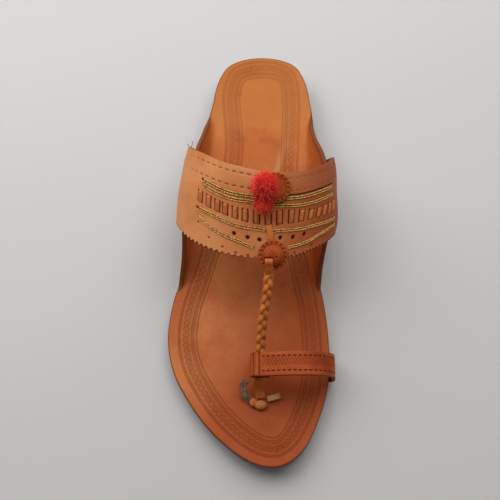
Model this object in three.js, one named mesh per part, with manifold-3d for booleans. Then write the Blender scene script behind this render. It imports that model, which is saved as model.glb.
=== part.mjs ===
// A right-foot kolhapuri sandal: leather sole with turned-up ears, a wide instep band, a plaited
// thong and a big-toe loop. Millimetres, +Z up, +Y to the toes, +X to the outer side of the foot.
// The origin lies on the floor, at the middle of the flat under the heel.
import * as THREE from 'three';
import { mergeVertices } from 'three/addons/utils/BufferGeometryUtils.js';
import Module from 'manifold-3d';

const wasm = await Module();
wasm.setup();

// Driving dimensions.
const HEEL_BACK = -33;
const TOE_TIP = 236;
const HEEL_LIFT = 8;
const OUTSOLE_WALL = 5;
const INSOLE_WALL = 3.2;
const EAR_WALL = 2.6;
const BAND_WALL = 2.4;
const STRAP_WALL = 2;
const GAP = 0.3;
const SEAM_GAP = 0.4;
const TOE_SPRING = 5;
const BREAST_Y = 34;
const BREAST_HOLLOW = 5;
const ARCH_FROM = 28;
const BALL_FROM = 118;
const BALL_TO = 186;
const FOLD = 5;
const FOLD_SHARE = 0.2;
const TOOTH_DEPTH = 1.3;

// A short table: named columns, one row for each section.
function table(columns, rows) {
  const names = columns.split(' ');
  return Object.fromEntries(names.map((name, at) => [name, rows.map((row) => row[at])]));
}

// Half-widths of the sole's outline, from the heel to the toes.
const OUTLINE = table('y inner outer', [
  [-28, -20.0, 20.2],
  [-20, -26.4, 26.8],
  [-8, -30.2, 30.9],
  [6, -31.6, 32.8],
  [30, -30.6, 34.4],
  [60, -28.8, 38.4],
  [90, -30.0, 44.6],
  [115, -33.8, 49.8],
  [140, -38.0, 56.2],
  [160, -39.8, 58.0],
  [181, -39.6, 53.6],
  [196, -36.8, 45.6],
  [210, -31.8, 35.6],
  [224, -24.7, 21.5],
]);
const HEEL_ROUND = 82;
const TOE_ROUND = 55;
const TOE_TIP_X = -5;

// The last over the instep: its widest points on both sides and its crown.
const LAST = table('y outer inner sideZ crownX crownZ', [
  [0, 41.0, -35.0, 38, -1, 84],
  [20, 41.5, -35.4, 38, -1, 83],
  [33, 42.2, -36.2, 38, -2, 81],
  [45, 43.0, -38.8, 38, -2, 79.5],
  [58, 46.0, -41.5, 37.5, -2, 77],
  [78, 49.0, -42.2, 36.5, -2, 72.5],
  [92, 49.8, -42.2, 35, -3, 67],
  [104, 50.0, -39.8, 34, -4, 62],
  [118, 51.5, -38.2, 33, -5, 56.5],
  [132, 54.5, -38.4, 32, -5, 51],
]);

// How high the ears stand over the insole's underside.
const EARS = table('y outer inner', [
  [0, 0.0, 0.0],
  [8, 1.8, 1.8],
  [20, 7.2, 6.8],
  [31, 12.0, 12.0],
  [43, 19.5, 19.0],
  [54, 22.0, 22.0],
  [84, 24.5, 25.0],
  [98, 22.0, 23.0],
  [108, 16.5, 18.0],
  [118, 10.0, 10.5],
  [126, 3.5, 4.0],
  [131, 0.0, 0.0],
]);

// The instep band's edges, at shares of the way from the crown down to each end.
const BAND = table('share rearOuter frontOuter rearInner frontInner', [
  [0.0, 78.0, 125.0, 78.0, 125.0],
  [0.25, 71.0, 121.0, 75.8, 121.0],
  [0.5, 59.0, 111.5, 67.0, 113.5],
  [0.75, 48.5, 97.5, 55.0, 103.5],
  [1.0, 45.5, 86.5, 48.0, 96.0],
]);
const BAND_ARCH_SHARE = 0.84;
const BAND_END_K = 1.45;
const BAND_TEETH = 27;

function smooth(t) {
  const held = Math.min(1, Math.max(0, t));
  return held * held * (3 - 2 * held);
}

function mix(a, b, t) {
  return a + (b - a) * t;
}

// Smooth curve through a table's points: a cubic between rows, with slopes from the neighbours.
function through(xs, ys, x) {
  const n = xs.length;
  const chord = (i) => (ys[i + 1] - ys[i]) / (xs[i + 1] - xs[i]);
  const slope = (i) => {
    if (i === 0) return chord(0);
    if (i === n - 1) return chord(n - 2);
    const before = xs[i] - xs[i - 1];
    const after = xs[i + 1] - xs[i];
    return (chord(i - 1) * after + chord(i) * before) / (before + after);
  };
  const at = Math.min(xs[n - 1], Math.max(xs[0], x));
  let i = 0;
  while (i < n - 2 && at > xs[i + 1]) i += 1;
  const step = xs[i + 1] - xs[i];
  const t = (at - xs[i]) / step;
  const t2 = t * t;
  const t3 = t2 * t;
  return (2 * t3 - 3 * t2 + 1) * ys[i] + (t3 - 2 * t2 + t) * step * slope(i)
    + (3 * t2 - 2 * t3) * ys[i + 1] + (t3 - t2) * step * slope(i + 1);
}

// The turn angle runs from 0 at the heel's back to pi at the toe tip, so both ends come out round.
const SOLE_MIDDLE = (HEEL_BACK + TOE_TIP) / 2;
const SOLE_REACH = (TOE_TIP - HEEL_BACK) / 2;

function turnAt(y) {
  return Math.acos(Math.min(1, Math.max(-1, (SOLE_MIDDLE - y) / SOLE_REACH)));
}

function turnY(turn) {
  return SOLE_MIDDLE - SOLE_REACH * Math.cos(turn);
}

const OUTLINE_TURNS = OUTLINE.y.map(turnAt);
const TURNS = [0, ...OUTLINE_TURNS, Math.PI];
const GIRTHS = [
  HEEL_ROUND,
  ...OUTLINE_TURNS.map((turn, i) => (OUTLINE.outer[i] - OUTLINE.inner[i]) / 2 / Math.sin(turn)),
  TOE_ROUND,
];
const SPINES = [0, ...OUTLINE.outer.map((x, i) => (x + OUTLINE.inner[i]) / 2), TOE_TIP_X];

function halfWidth(y) {
  const turn = turnAt(y);
  return Math.sin(turn) * through(TURNS, GIRTHS, turn);
}

function spineX(y) {
  return through(TURNS, SPINES, turnAt(y));
}

function edgeX(y, side) {
  return spineX(y) + side * halfWidth(y);
}

// Height of the outsole's underside: the heel's lift, the arch, the flat ball and the toe spring.
function rise(y) {
  const arch = 1 - smooth((y - ARCH_FROM) / (BALL_FROM - ARCH_FROM));
  const spring = Math.max(0, (y - BALL_TO) / (TOE_TIP - BALL_TO));
  return HEEL_LIFT * arch + TOE_SPRING * spring * spring;
}

function insoleBase(y) {
  return rise(y) + OUTSOLE_WALL + GAP;
}

function insoleTop(y) {
  return insoleBase(y) + INSOLE_WALL;
}

// The last's skin at station y, on one side (+1 outer, -1 inner). k runs 0 to 1 round the fold at
// the sole's edge, 1 to 2 up the side, which leans out and turns upright at its widest, and
// 2 to 3 over a quarter ellipse to the crown.
function lastPoint(y, side, k) {
  const edge = edgeX(y, side);
  const base = insoleBase(y);
  const wideX = through(LAST.y, side > 0 ? LAST.outer : LAST.inner, y);
  const wideZ = through(LAST.y, LAST.sideZ, y);
  const wall = (q) => [mix(edge, wideX, 1 - (1 - q) * (1 - q)), mix(base, wideZ, q)];
  if (k >= 2) {
    const angle = (Math.min(3, k) - 2) * Math.PI / 2;
    const crownX = through(LAST.y, LAST.crownX, y);
    const crownZ = through(LAST.y, LAST.crownZ, y);
    const x = crownX + (wideX - crownX) * Math.cos(angle);
    return new THREE.Vector3(x, y, wideZ + (crownZ - wideZ) * Math.sin(angle));
  }
  if (k >= 1) {
    const [x, z] = wall(mix(FOLD_SHARE, 1, k - 1));
    return new THREE.Vector3(x, y, z);
  }
  const [endX, endZ] = wall(FOLD_SHARE);
  const cornerX = edge + (wideX - edge) * FOLD_SHARE * FOLD_SHARE;
  const startX = edge - side * FOLD;
  const x = (1 - k) * (1 - k) * startX + 2 * k * (1 - k) * cornerX + k * k * endX;
  const z = (1 - k * k) * base + k * k * endZ;
  return new THREE.Vector3(x, y, z);
}

// A surface's unit normal from small steps along its two parameters.
function normalOf(surface, a, b, stepA, stepB) {
  const alongA = surface(a + stepA, b).sub(surface(a - stepA, b));
  const alongB = surface(a, b + stepB).sub(surface(a, b - stepB));
  return alongA.cross(alongB).normalize();
}

// Outward normal of the last's skin.
function lastNormal(y, side, k) {
  const skin = (atY, atK) => lastPoint(atY, side, atK);
  const held = Math.min(2.995, Math.max(0.005, k));
  return normalOf(skin, y, held, 0.5, 0.004).multiplyScalar(side);
}

// Deletes folded-up triangles, joins equal corners and turns every face outwards.
function closed(geometry) {
  geometry.deleteAttribute('normal');
  geometry.deleteAttribute('uv');
  const merged = mergeVertices(geometry, 1e-4);
  const from = merged.getIndex().array;
  const place = merged.getAttribute('position');
  const kept = [];
  let volume = 0;
  for (let i = 0; i < from.length; i += 3) {
    const [a, b, c] = [from[i], from[i + 1], from[i + 2]];
    if (a === b || b === c || c === a) continue;
    kept.push(a, b, c);
    const corners = [a, b, c].map((at) => new THREE.Vector3().fromBufferAttribute(place, at));
    volume += corners[0].dot(corners[1].cross(corners[2]));
  }
  if (volume < 0) kept.reverse();
  merged.setIndex(kept);
  return merged;
}

function meshFrom(points, faces) {
  const geometry = new THREE.BufferGeometry();
  const numbers = points.flatMap((point) => [point.x, point.y, point.z]);
  geometry.setAttribute('position', new THREE.Float32BufferAttribute(numbers, 3));
  geometry.setIndex(faces);
  return closed(geometry);
}

// A closed sheet between two grids of points of one size: both faces and the four edges.
function sheet(outer, inner) {
  const rows = outer.length;
  const columns = outer[0].length;
  const points = [...outer.flat(), ...inner.flat()];
  const far = rows * columns;
  const faces = [];
  const quad = (a, b, c, d) => faces.push(a, b, c, a, c, d);
  const at = (row, column) => row * columns + column;
  for (let i = 0; i < rows - 1; i += 1) {
    for (let j = 0; j < columns - 1; j += 1) {
      const corners = [at(i, j), at(i + 1, j), at(i + 1, j + 1), at(i, j + 1)];
      quad(...corners);
      quad(...corners.map((corner) => corner + far).reverse());
    }
    const last = columns - 1;
    quad(at(i + 1, 0), at(i, 0), at(i, 0) + far, at(i + 1, 0) + far);
    quad(at(i, last), at(i + 1, last), at(i + 1, last) + far, at(i, last) + far);
  }
  for (let j = 0; j < columns - 1; j += 1) {
    const last = rows - 1;
    quad(at(0, j), at(0, j + 1), at(0, j + 1) + far, at(0, j) + far);
    quad(at(last, j + 1), at(last, j), at(last, j) + far, at(last, j + 1) + far);
  }
  return meshFrom(points, faces);
}

function steps(count, from = 0, to = 1) {
  return Array.from({ length: count + 1 }, (_, i) => mix(from, to, i / count));
}

function toSolid(geometry) {
  const place = geometry.getAttribute('position').array;
  const index = geometry.getIndex().array;
  const vertProperties = new Float32Array(place);
  const triVerts = new Uint32Array(index);
  return new wasm.Manifold(new wasm.Mesh({ numProp: 3, vertProperties, triVerts }));
}

function toGeometry(solid) {
  const mesh = solid.getMesh();
  const geometry = new THREE.BufferGeometry();
  geometry.setAttribute('position', new THREE.Float32BufferAttribute(mesh.vertProperties, 3));
  geometry.setIndex([...mesh.triVerts]);
  return closed(geometry);
}

// Outsole: one plate under the whole foot, with a pocket at the inner edge for the toe strap's tab.
const SOLE_COLUMNS = steps(6, -1, 1);
const STRAP_REAR = 170.5;
const STRAP_FRONT = 184.8;
const TAB_DEPTH = 10;
const TAB_Z = OUTSOLE_WALL - GAP - STRAP_WALL / 2;

function outsole() {
  const stations = steps(34, 0, Math.PI).map(turnY);
  const plate = (height) => stations.map((y) => SOLE_COLUMNS.map(
    (t) => new THREE.Vector3(spineX(y) + t * halfWidth(y), y, rise(y) + height),
  ));
  const body = sheet(plate(0), plate(OUTSOLE_WALL));
  const pocketY = (STRAP_REAR + STRAP_FRONT) / 2;
  const depth = STRAP_WALL + 3 * GAP;
  const wide = STRAP_FRONT - STRAP_REAR + 2 * GAP;
  const pocket = new THREE.BoxGeometry(2 * TAB_DEPTH, wide, depth + 1);
  pocket.translate(edgeX(pocketY, -1), pocketY, OUTSOLE_WALL - depth / 2 + 0.5);
  return toGeometry(toSolid(body).subtract(toSolid(closed(pocket))));
}

// Heel lift: flat on the floor, its breast hollowed in the middle.
function heelLift() {
  const grid = (height) => steps(12).map((share) => SOLE_COLUMNS.map((t) => {
    const breast = turnAt(BREAST_Y + BREAST_HOLLOW * t * t);
    const y = turnY(breast * share);
    return new THREE.Vector3(spineX(y) + t * halfWidth(y), y, height(y));
  }));
  return sheet(grid(() => 0), grid((y) => rise(y) - GAP));
}

// Insole: flat over the outsole, and turned up on both sides of the waist into the ears.
function earLift(y, side) {
  return Math.max(0, through(EARS.y, side > 0 ? EARS.outer : EARS.inner, y));
}

// The insole's underside, from the fold's start (0) to its edge (1). A low ear lies nearly flat
// and unrolls into the last's skin as it grows.
function insoleSkin(y, side, share) {
  const lift = earLift(y, side);
  const wideZ = through(LAST.y, LAST.sideZ, y);
  const part = lift / (wideZ - insoleBase(y));
  const lowEnd = 0.5 + 0.5 * part / FOLD_SHARE;
  const endK = part < FOLD_SHARE ? lowEnd : 1 + (part - FOLD_SHARE) / (1 - FOLD_SHARE);
  const fold = Math.min(FOLD, halfWidth(y) / 3);
  const spread = EAR_SPREAD * (1 - smooth(y / BALL_FROM));
  const flatX = edgeX(y, side) + side * (lift * spread * share - fold * (1 - share));
  const flat = new THREE.Vector3(flatX, y, insoleBase(y));
  return flat.lerp(lastPoint(y, side, endK * share), smooth(lift / EAR_UPRIGHT));
}

function insoleNormal(y, side, share) {
  if (earLift(y, side) < 0.5) return new THREE.Vector3(0, 0, -1);
  const held = Math.min(0.98, Math.max(0.02, share));
  const skin = (atY, atShare) => insoleSkin(atY, side, atShare);
  return normalOf(skin, y, held, 0.5, 0.01).multiplyScalar(side);
}

const FOLD_STEPS = 6;
const EAR_SPREAD = 0.6;
const EAR_UPRIGHT = 8;
const EARS_FROM = EARS.y[0];
const EARS_TO = EARS.y.at(-1);

function insole() {
  const heelPart = steps(8, 0, turnAt(EARS_FROM)).map(turnY);
  const toePart = steps(12, turnAt(EARS_TO), Math.PI).map(turnY);
  const stations = [...heelPart, ...steps(24, EARS_FROM, EARS_TO).slice(1, -1), ...toePart];
  const row = (y, thick) => {
    const half = (side) => steps(FOLD_STEPS).map((share) => {
      const wall = thick * mix(INSOLE_WALL, EAR_WALL, smooth(share * earLift(y, side) / 12));
      return insoleSkin(y, side, share).addScaledVector(insoleNormal(y, side, share), -wall);
    });
    const middle = new THREE.Vector3(spineX(y), y, insoleBase(y) + thick * INSOLE_WALL);
    return [...half(-1).reverse(), middle, ...half(1)];
  };
  return sheet(stations.map((y) => row(y, 0)), stations.map((y) => row(y, 1)));
}

// Instep band: the last's skin between two edge lines, from end to end over the crown. The front
// edge is cut in teeth.
function bandK(share) {
  if (share < BAND_ARCH_SHARE) return 3 - share / BAND_ARCH_SHARE;
  return mix(2, BAND_END_K, (share - BAND_ARCH_SHARE) / (1 - BAND_ARCH_SHARE));
}

function bandEdge(name, share, side) {
  return through(BAND.share, BAND[name + (side > 0 ? 'Outer' : 'Inner')], share);
}

function bandPoint(share, side, across, offset) {
  const y = mix(bandEdge('rear', share, side), bandEdge('front', share, side), across);
  const k = bandK(share);
  return lastPoint(y, side, k).addScaledVector(lastNormal(y, side, k), offset);
}

function instepBand() {
  const across = [0, 0.2, 0.4, 0.6, 0.8, 0.95];
  const halves = (side) => steps(2 * BAND_TEETH).map((share, i) => ({ share, side, tooth: i % 2 }));
  const columns = [...halves(1).reverse(), ...halves(-1).slice(1)];
  const grid = (offset) => columns.map(({ share, side, tooth }) => {
    const edge = bandEdge('front', share, side) - bandEdge('rear', share, side);
    const tip = 1 - tooth * TOOTH_DEPTH / edge;
    return [...across, tip].map((v) => bandPoint(share, side, v, offset));
  });
  return sheet(grid(SEAM_GAP + BAND_WALL), grid(SEAM_GAP));
}

// Toe strap: a loop over the big toe, wrapped round the plait at its outer end and folded under
// the insole at its inner end.
const STRAP = table('x z skew', [
  [-31, TAB_Z, 0],
  [-38, TAB_Z, 0],
  [-40.8, TAB_Z + 0.5, 0],
  [-41.8, 6.3, 0],
  [-41.6, 14, 0.3],
  [-39.6, 21.5, 0.8],
  [-33, 29, 1.5],
  [-23.5, 33.2, 2.1],
  [-13, 34.4, 2.4],
  [-3.5, 31.8, 2.2],
  [2.4, 28.2, 1.6],
  [6, 25, 1],
  [6.6, 21.4, 0.6],
  [4.6, 18.4, 0.4],
  [0.8, 17.8, 0.3],
  [-3.4, 18.6, 0.3],
]);

function toeStrap() {
  const corners = STRAP.x.map((x, i) => new THREE.Vector3(x, 0, STRAP.z[i]));
  const middle = new THREE.CatmullRomCurve3(corners, false, 'centripetal');
  const places = STRAP.x.map((_, i) => i);
  const last = places.length - 1;
  const rows = steps(3);
  const grid = (offset) => steps(44).map((share) => {
    const point = middle.getPoint(share);
    const along = middle.getTangent(share);
    const skew = through(places, STRAP.skew, share * last);
    return rows.map((across) => new THREE.Vector3(
      point.x - along.z * offset,
      mix(STRAP_REAR, STRAP_FRONT, across) + skew,
      point.z + along.x * offset,
    ));
  });
  return sheet(grid(STRAP_WALL / 2), grid(-STRAP_WALL / 2));
}

// Plait: three leather strands woven over and under, joined where they cross.
const PLAIT_ROUTE = [
  new THREE.Vector3(-2.6, 132.6, 54.2),
  new THREE.Vector3(-2.0, 141, 49.2),
  new THREE.Vector3(0.2, 152, 40.6),
  new THREE.Vector3(1.6, 163, 31.2),
  new THREE.Vector3(1.9, 172, 24.4),
  new THREE.Vector3(1.7, 182, 22.8),
];
const PLAIT_HALF = 1.7;
const PLAIT_WEAVE = 0.85;
const PLAIT_TURNS = 3.2;
const STRAND_WIDE = 1.45;
const STRAND_THICK = 1;

class Strand extends THREE.Curve {
  constructor(route, phase) {
    super();
    this.route = route;
    this.phase = phase;
  }

  getPoint(t) {
    const along = this.route.getTangentAt(t);
    const across = new THREE.Vector3(1, 0, 0).addScaledVector(along, -along.x).normalize();
    const up = across.clone().cross(along);
    const turn = 2 * Math.PI * (t * PLAIT_TURNS + this.phase);
    return this.route.getPointAt(t)
      .addScaledVector(across, PLAIT_HALF * Math.sin(turn))
      .addScaledVector(up, PLAIT_WEAVE * Math.sin(2 * turn));
  }
}

function plait() {
  const route = new THREE.CatmullRomCurve3(PLAIT_ROUTE);
  const section = new THREE.Shape();
  section.absellipse(0, 0, STRAND_WIDE, STRAND_THICK, 0, 2 * Math.PI);
  const strand = (phase) => toSolid(closed(new THREE.ExtrudeGeometry(section, {
    extrudePath: new Strand(route, phase), steps: 30, curveSegments: 3, bevelEnabled: false,
  })));
  return toGeometry(strand(0).add(strand(1 / 3)).add(strand(2 / 3)));
}

// A flat leather thong along a route: a sheet of even width lying across `across`.
function thong(route, across, wide, thick, count) {
  const curve = new THREE.CatmullRomCurve3(route);
  const side = across.clone().normalize();
  const grid = (offset) => steps(count).map((share) => {
    const point = curve.getPointAt(share);
    const up = side.clone().cross(curve.getTangentAt(share)).normalize();
    return [-wide / 2, 0, wide / 2].map((shift) => point.clone()
      .addScaledVector(side, shift).addScaledVector(up, offset));
  });
  return sheet(grid(thick / 2), grid(-thick / 2));
}

const KNOT_FLOOR = insoleTop(200) + GAP;

function tailThong() {
  const route = [
    new THREE.Vector3(4.4, 186.6, 20.6),
    new THREE.Vector3(3.4, 189.4, 16.8),
    new THREE.Vector3(2.2, 192.4, 12.6),
    new THREE.Vector3(1.7, 195.6, KNOT_FLOOR + 1),
  ];
  return thong(route, new THREE.Vector3(1, 0.1, 0.05), 5.4, 1.8, 8);
}

function thongCurl() {
  const route = [
    new THREE.Vector3(10.2, 186.4, 17.4),
    new THREE.Vector3(12.2, 190.0, 15.2),
    new THREE.Vector3(11.0, 194.4, 12.8),
    new THREE.Vector3(8.0, 197.4, KNOT_FLOOR + 1),
  ];
  return thong(route, new THREE.Vector3(1, 0.35, -0.3), 3.6, 1.5, 10);
}

function thongEnd() {
  const route = [
    new THREE.Vector3(-2.2, 196.4, KNOT_FLOOR + 1.1),
    new THREE.Vector3(-6, 195.4, KNOT_FLOOR + 1.4),
    new THREE.Vector3(-9.8, 194.4, KNOT_FLOOR + 1.8),
  ];
  return thong(route, new THREE.Vector3(0.25, 1, 0), 3.4, 1.6, 4);
}

function knot() {
  const lump = new THREE.SphereGeometry(1, 12, 8);
  lump.scale(4.0, 2.8, 1.6);
  lump.translate(1.8, 200, KNOT_FLOOR + 1.7);
  return closed(lump);
}

// Trimmings that stand on the band's outer face.
function onBand(share, side, across, height) {
  const y = mix(bandEdge('rear', share, side), bandEdge('front', share, side), across);
  const up = lastNormal(y, side, bandK(share));
  const place = bandPoint(share, side, across, SEAM_GAP + BAND_WALL + height);
  const turn = new THREE.Quaternion().setFromUnitVectors(new THREE.Vector3(0, 1, 0), up);
  return { place, turn };
}

function turned(profile, sides) {
  return new THREE.LatheGeometry(profile.map(([r, h]) => new THREE.Vector2(r, h)), sides);
}

const FRONT_ROSETTE = { share: 0, side: 1, across: 0.93 };
const REAR_ROSETTE = { share: 0.05, side: -1, across: 0.18 };
const POMPOM = { share: 0, side: 1, across: 0.19 };
const ROSETTE_WALL = 1.4;

function discAt({ share, side, across }, radius) {
  const { place, turn } = onBand(share, side, across, GAP);
  const disc = turned([[0, 0], [radius, 0], [radius, ROSETTE_WALL], [0, ROSETTE_WALL]], 28);
  disc.applyQuaternion(turn);
  disc.translate(place.x, place.y, place.z);
  return closed(disc);
}

function buttonAt({ share, side, across }) {
  const { place, turn } = onBand(share, side, across, 2 * GAP + ROSETTE_WALL);
  const dome = turned([[0, 0], [5.8, 0], [6, 0.8], [5.2, 2], [3.1, 2.9], [0, 3.2]], 20);
  dome.applyQuaternion(turn);
  dome.translate(place.x, place.y, place.z);
  return closed(dome);
}

// The pompom lies on the rear rosette, a little towards the toes.
function pompomAt({ share, side, across }) {
  const { place, turn } = onBand(share, side, across, 3 * GAP + ROSETTE_WALL);
  const ball = new THREE.SphereGeometry(1, 20, 12);
  ball.scale(8.2, 7.2, 12.6);
  ball.translate(2.4, 7.5, -3.4);
  ball.applyQuaternion(turn);
  ball.translate(place.x, place.y, place.z);
  return closed(ball);
}

const leather = (colour, roughness) => new THREE.MeshStandardMaterial({
  color: colour, roughness, metalness: 0,
});

function piece(name, geometry, material) {
  const mesh = new THREE.Mesh(geometry, material);
  mesh.name = name;
  return mesh;
}

const sandal = new THREE.Group();
sandal.add(
  piece('outsole', outsole(), leather(0x8a4f2a, 0.75)),
  piece('heel_lift', heelLift(), leather(0x7a4526, 0.75)),
  piece('insole', insole(), leather(0xb9703a, 0.55)),
  piece('instep_band', instepBand(), leather(0xc27a45, 0.5)),
  piece('toe_strap', toeStrap(), leather(0xac602e, 0.5)),
  piece('plait', plait(), leather(0xa85a28, 0.55)),
  piece('tail_thong', tailThong(), leather(0xa85a28, 0.6)),
  piece('thong_curl', thongCurl(), leather(0x735343, 0.8)),
  piece('thong_end', thongEnd(), leather(0x966748, 0.7)),
  piece('thong_knot', knot(), leather(0x966748, 0.7)),
  piece('front_rosette', discAt(FRONT_ROSETTE, 8.8), leather(0xb06a38, 0.6)),
  piece('front_button', buttonAt(FRONT_ROSETTE), leather(0xa24b24, 0.45)),
  piece('rear_rosette', discAt(REAR_ROSETTE, 9), leather(0xb06a38, 0.6)),
  piece('pompom', pompomAt(POMPOM), leather(0xac2d23, 0.9)),
);

export default sandal;
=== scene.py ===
"""Kolhapuri sandal for a right foot: tan leather, gold cords, a red pompom and a toe loop.

Lengths in the code are millimetres in the frame of the sandal, +Z up, +Y to the toes and +X to
the outer side of the foot; put_mesh() turns them into metres. Materials
count in metres, except on a piece's own pattern.
"""
import math

import bpy
import numpy as np
from bpy.props import FloatProperty, FloatVectorProperty, IntProperty, PointerProperty
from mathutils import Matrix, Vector


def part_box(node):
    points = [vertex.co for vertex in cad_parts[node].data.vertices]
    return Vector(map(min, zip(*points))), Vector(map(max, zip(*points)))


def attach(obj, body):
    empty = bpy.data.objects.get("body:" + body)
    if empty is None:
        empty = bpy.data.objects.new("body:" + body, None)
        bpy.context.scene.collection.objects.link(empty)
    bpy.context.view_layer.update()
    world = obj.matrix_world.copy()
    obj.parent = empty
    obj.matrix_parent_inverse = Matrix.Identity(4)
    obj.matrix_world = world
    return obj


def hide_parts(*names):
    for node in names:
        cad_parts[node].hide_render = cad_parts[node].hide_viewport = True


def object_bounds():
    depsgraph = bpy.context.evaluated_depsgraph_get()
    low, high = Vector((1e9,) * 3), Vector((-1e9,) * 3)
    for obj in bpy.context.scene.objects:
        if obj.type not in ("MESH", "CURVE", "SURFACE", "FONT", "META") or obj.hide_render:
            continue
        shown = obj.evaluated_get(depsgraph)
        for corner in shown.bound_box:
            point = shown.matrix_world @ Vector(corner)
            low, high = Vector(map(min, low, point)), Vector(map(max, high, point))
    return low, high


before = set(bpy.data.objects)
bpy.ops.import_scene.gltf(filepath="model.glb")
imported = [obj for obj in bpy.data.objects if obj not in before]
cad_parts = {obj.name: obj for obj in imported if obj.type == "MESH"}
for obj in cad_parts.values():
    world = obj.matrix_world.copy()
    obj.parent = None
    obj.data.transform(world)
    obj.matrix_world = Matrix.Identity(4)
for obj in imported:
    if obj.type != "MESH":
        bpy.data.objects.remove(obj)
CAD_BOX = [list(corner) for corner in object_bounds()]

bl_info = {
    "name": "Kolhapuri sandal",
    "version": (1, 0, 0),
    "blender": (4, 5, 0),
    "location": "3D View > Sidebar > Sandal",
    "description": "Builds a leather kolhapuri sandal, its trimmings, its materials and a stage",
    "category": "Add Mesh",
}

MM = 0.001
# One unit of a piece's own pattern, in millimetres.
UV_MM = 100.0


# ---------------------------------------------------------------- the last and the sole's lines

def table(columns, rows):
    """Named columns of a short table, as arrays."""
    return dict(zip(columns.split(), np.array(rows, float).T))


SOLE_LOW, SOLE_HIGH = (np.array(corner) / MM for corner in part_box("outsole"))
HEEL_BACK = SOLE_LOW[1]
TOE_TIP = SOLE_HIGH[1]
HEEL_LIFT = 8.0
OUTSOLE_WALL = 5.0
INSOLE_WALL = 3.2
EAR_WALL = 2.6
BAND_WALL = 2.4
STRAP_WALL = 2.0
GAP = 0.3
SEAM_GAP = 0.4
TOE_SPRING = 5.0
ARCH_FROM = 28.0
BALL_FROM = 118.0
BALL_TO = 186.0
BREAST_Y = 34.0
BREAST_HOLLOW = 5.0
FOLD = 5.0
FOLD_SHARE = 0.2
EAR_SPREAD = 0.6
EAR_UPRIGHT = 8.0
HEEL_ROUND = 82.0
TOE_ROUND = 55.0
TOE_TIP_X = -5.0
BAND_ARCH_SHARE = 0.84
BAND_END_K = 1.45
BAND_TEETH = 27
TOOTH_DEPTH = 1.3

OUTLINE = table("y inner outer", [
    [-28, -20.0, 20.2],
    [-20, -26.4, 26.8],
    [-8, -30.2, 30.9],
    [6, -31.6, 32.8],
    [30, -30.6, 34.4],
    [60, -28.8, 38.4],
    [90, -30.0, 44.6],
    [115, -33.8, 49.8],
    [140, -38.0, 56.2],
    [160, -39.8, 58.0],
    [181, -39.6, 53.6],
    [196, -36.8, 45.6],
    [210, -31.8, 35.6],
    [224, -24.7, 21.5],
])
LAST = table("y outer inner side_z crown_x crown_z", [
    [0, 41.0, -35.0, 38, -1, 84],
    [20, 41.5, -35.4, 38, -1, 83],
    [33, 42.2, -36.2, 38, -2, 81],
    [45, 43.0, -38.8, 38, -2, 79.5],
    [58, 46.0, -41.5, 37.5, -2, 77],
    [78, 49.0, -42.2, 36.5, -2, 72.5],
    [92, 49.8, -42.2, 35, -3, 67],
    [104, 50.0, -39.8, 34, -4, 62],
    [118, 51.5, -38.2, 33, -5, 56.5],
    [132, 54.5, -38.4, 32, -5, 51],
])
EARS = table("y outer inner", [
    [0, 0.0, 0.0],
    [8, 1.8, 1.8],
    [20, 7.2, 6.8],
    [31, 12.0, 12.0],
    [43, 19.5, 19.0],
    [54, 22.0, 22.0],
    [84, 24.5, 25.0],
    [98, 22.0, 23.0],
    [108, 16.5, 18.0],
    [118, 10.0, 10.5],
    [126, 3.5, 4.0],
    [131, 0.0, 0.0],
])
BAND = table("share rear_outer front_outer rear_inner front_inner", [
    [0.0, 78.0, 125.0, 78.0, 125.0],
    [0.25, 71.0, 121.0, 75.8, 121.0],
    [0.5, 59.0, 111.5, 67.0, 113.5],
    [0.75, 48.5, 97.5, 55.0, 103.5],
    [1.0, 45.5, 86.5, 48.0, 96.0],
])
STRAP_REAR = 170.5
STRAP_FRONT = 184.8
TAB_Z = OUTSOLE_WALL - GAP - STRAP_WALL / 2
STRAP = table("x z skew", [
    [-31, TAB_Z, 0],
    [-38, TAB_Z, 0],
    [-40.8, TAB_Z + 0.5, 0],
    [-41.8, 6.3, 0],
    [-41.6, 14, 0.3],
    [-39.6, 21.5, 0.8],
    [-33, 29, 1.5],
    [-23.5, 33.2, 2.1],
    [-13, 34.4, 2.4],
    [-3.5, 31.8, 2.2],
    [2.4, 28.2, 1.6],
    [6, 25, 1],
    [6.6, 21.4, 0.6],
    [4.6, 18.4, 0.4],
    [0.8, 17.8, 0.3],
    [-3.4, 18.6, 0.3],
])
PLAIT = table("x y z", [
    [-2.6, 132.6, 54.2],
    [-2.0, 141, 49.2],
    [0.2, 152, 40.6],
    [1.6, 163, 31.2],
    [1.9, 172, 24.4],
    [1.7, 182, 22.8],
])


def smooth(t):
    """Ease from 0 to 1: three t squared less two t cubed, held flat outside."""
    held = np.clip(t, 0.0, 1.0)
    return held * held * (3.0 - 2.0 * held)


def through(xs, ys, x):
    """Cubic between a table's rows, whose slopes weigh the two neighbouring chords."""
    step = np.diff(xs)
    chord = np.diff(ys) / step
    inner = (chord[:-1] * step[1:] + chord[1:] * step[:-1]) / (step[:-1] + step[1:])
    slope = np.concatenate([chord[:1], inner, chord[-1:]])
    at = np.clip(x, xs[0], xs[-1])
    i = np.clip(np.searchsorted(xs, at, side="left") - 1, 0, len(xs) - 2)
    t = (at - xs[i]) / step[i]
    turn_in = (t**3 - 2 * t**2 + t) * step[i] * slope[i]
    turn_out = (t**3 - t**2) * step[i] * slope[i + 1]
    level = (2 * t**3 - 3 * t**2 + 1) * ys[i] + (3 * t**2 - 2 * t**3) * ys[i + 1]
    return level + turn_in + turn_out


def sided(rows, at, side, edge=""):
    """A table's outer or inner column, by side, at values of its first column."""
    first = next(iter(rows.values()))
    return np.where(side > 0, through(first, rows[edge + "outer"], at),
                    through(first, rows[edge + "inner"], at))


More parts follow.
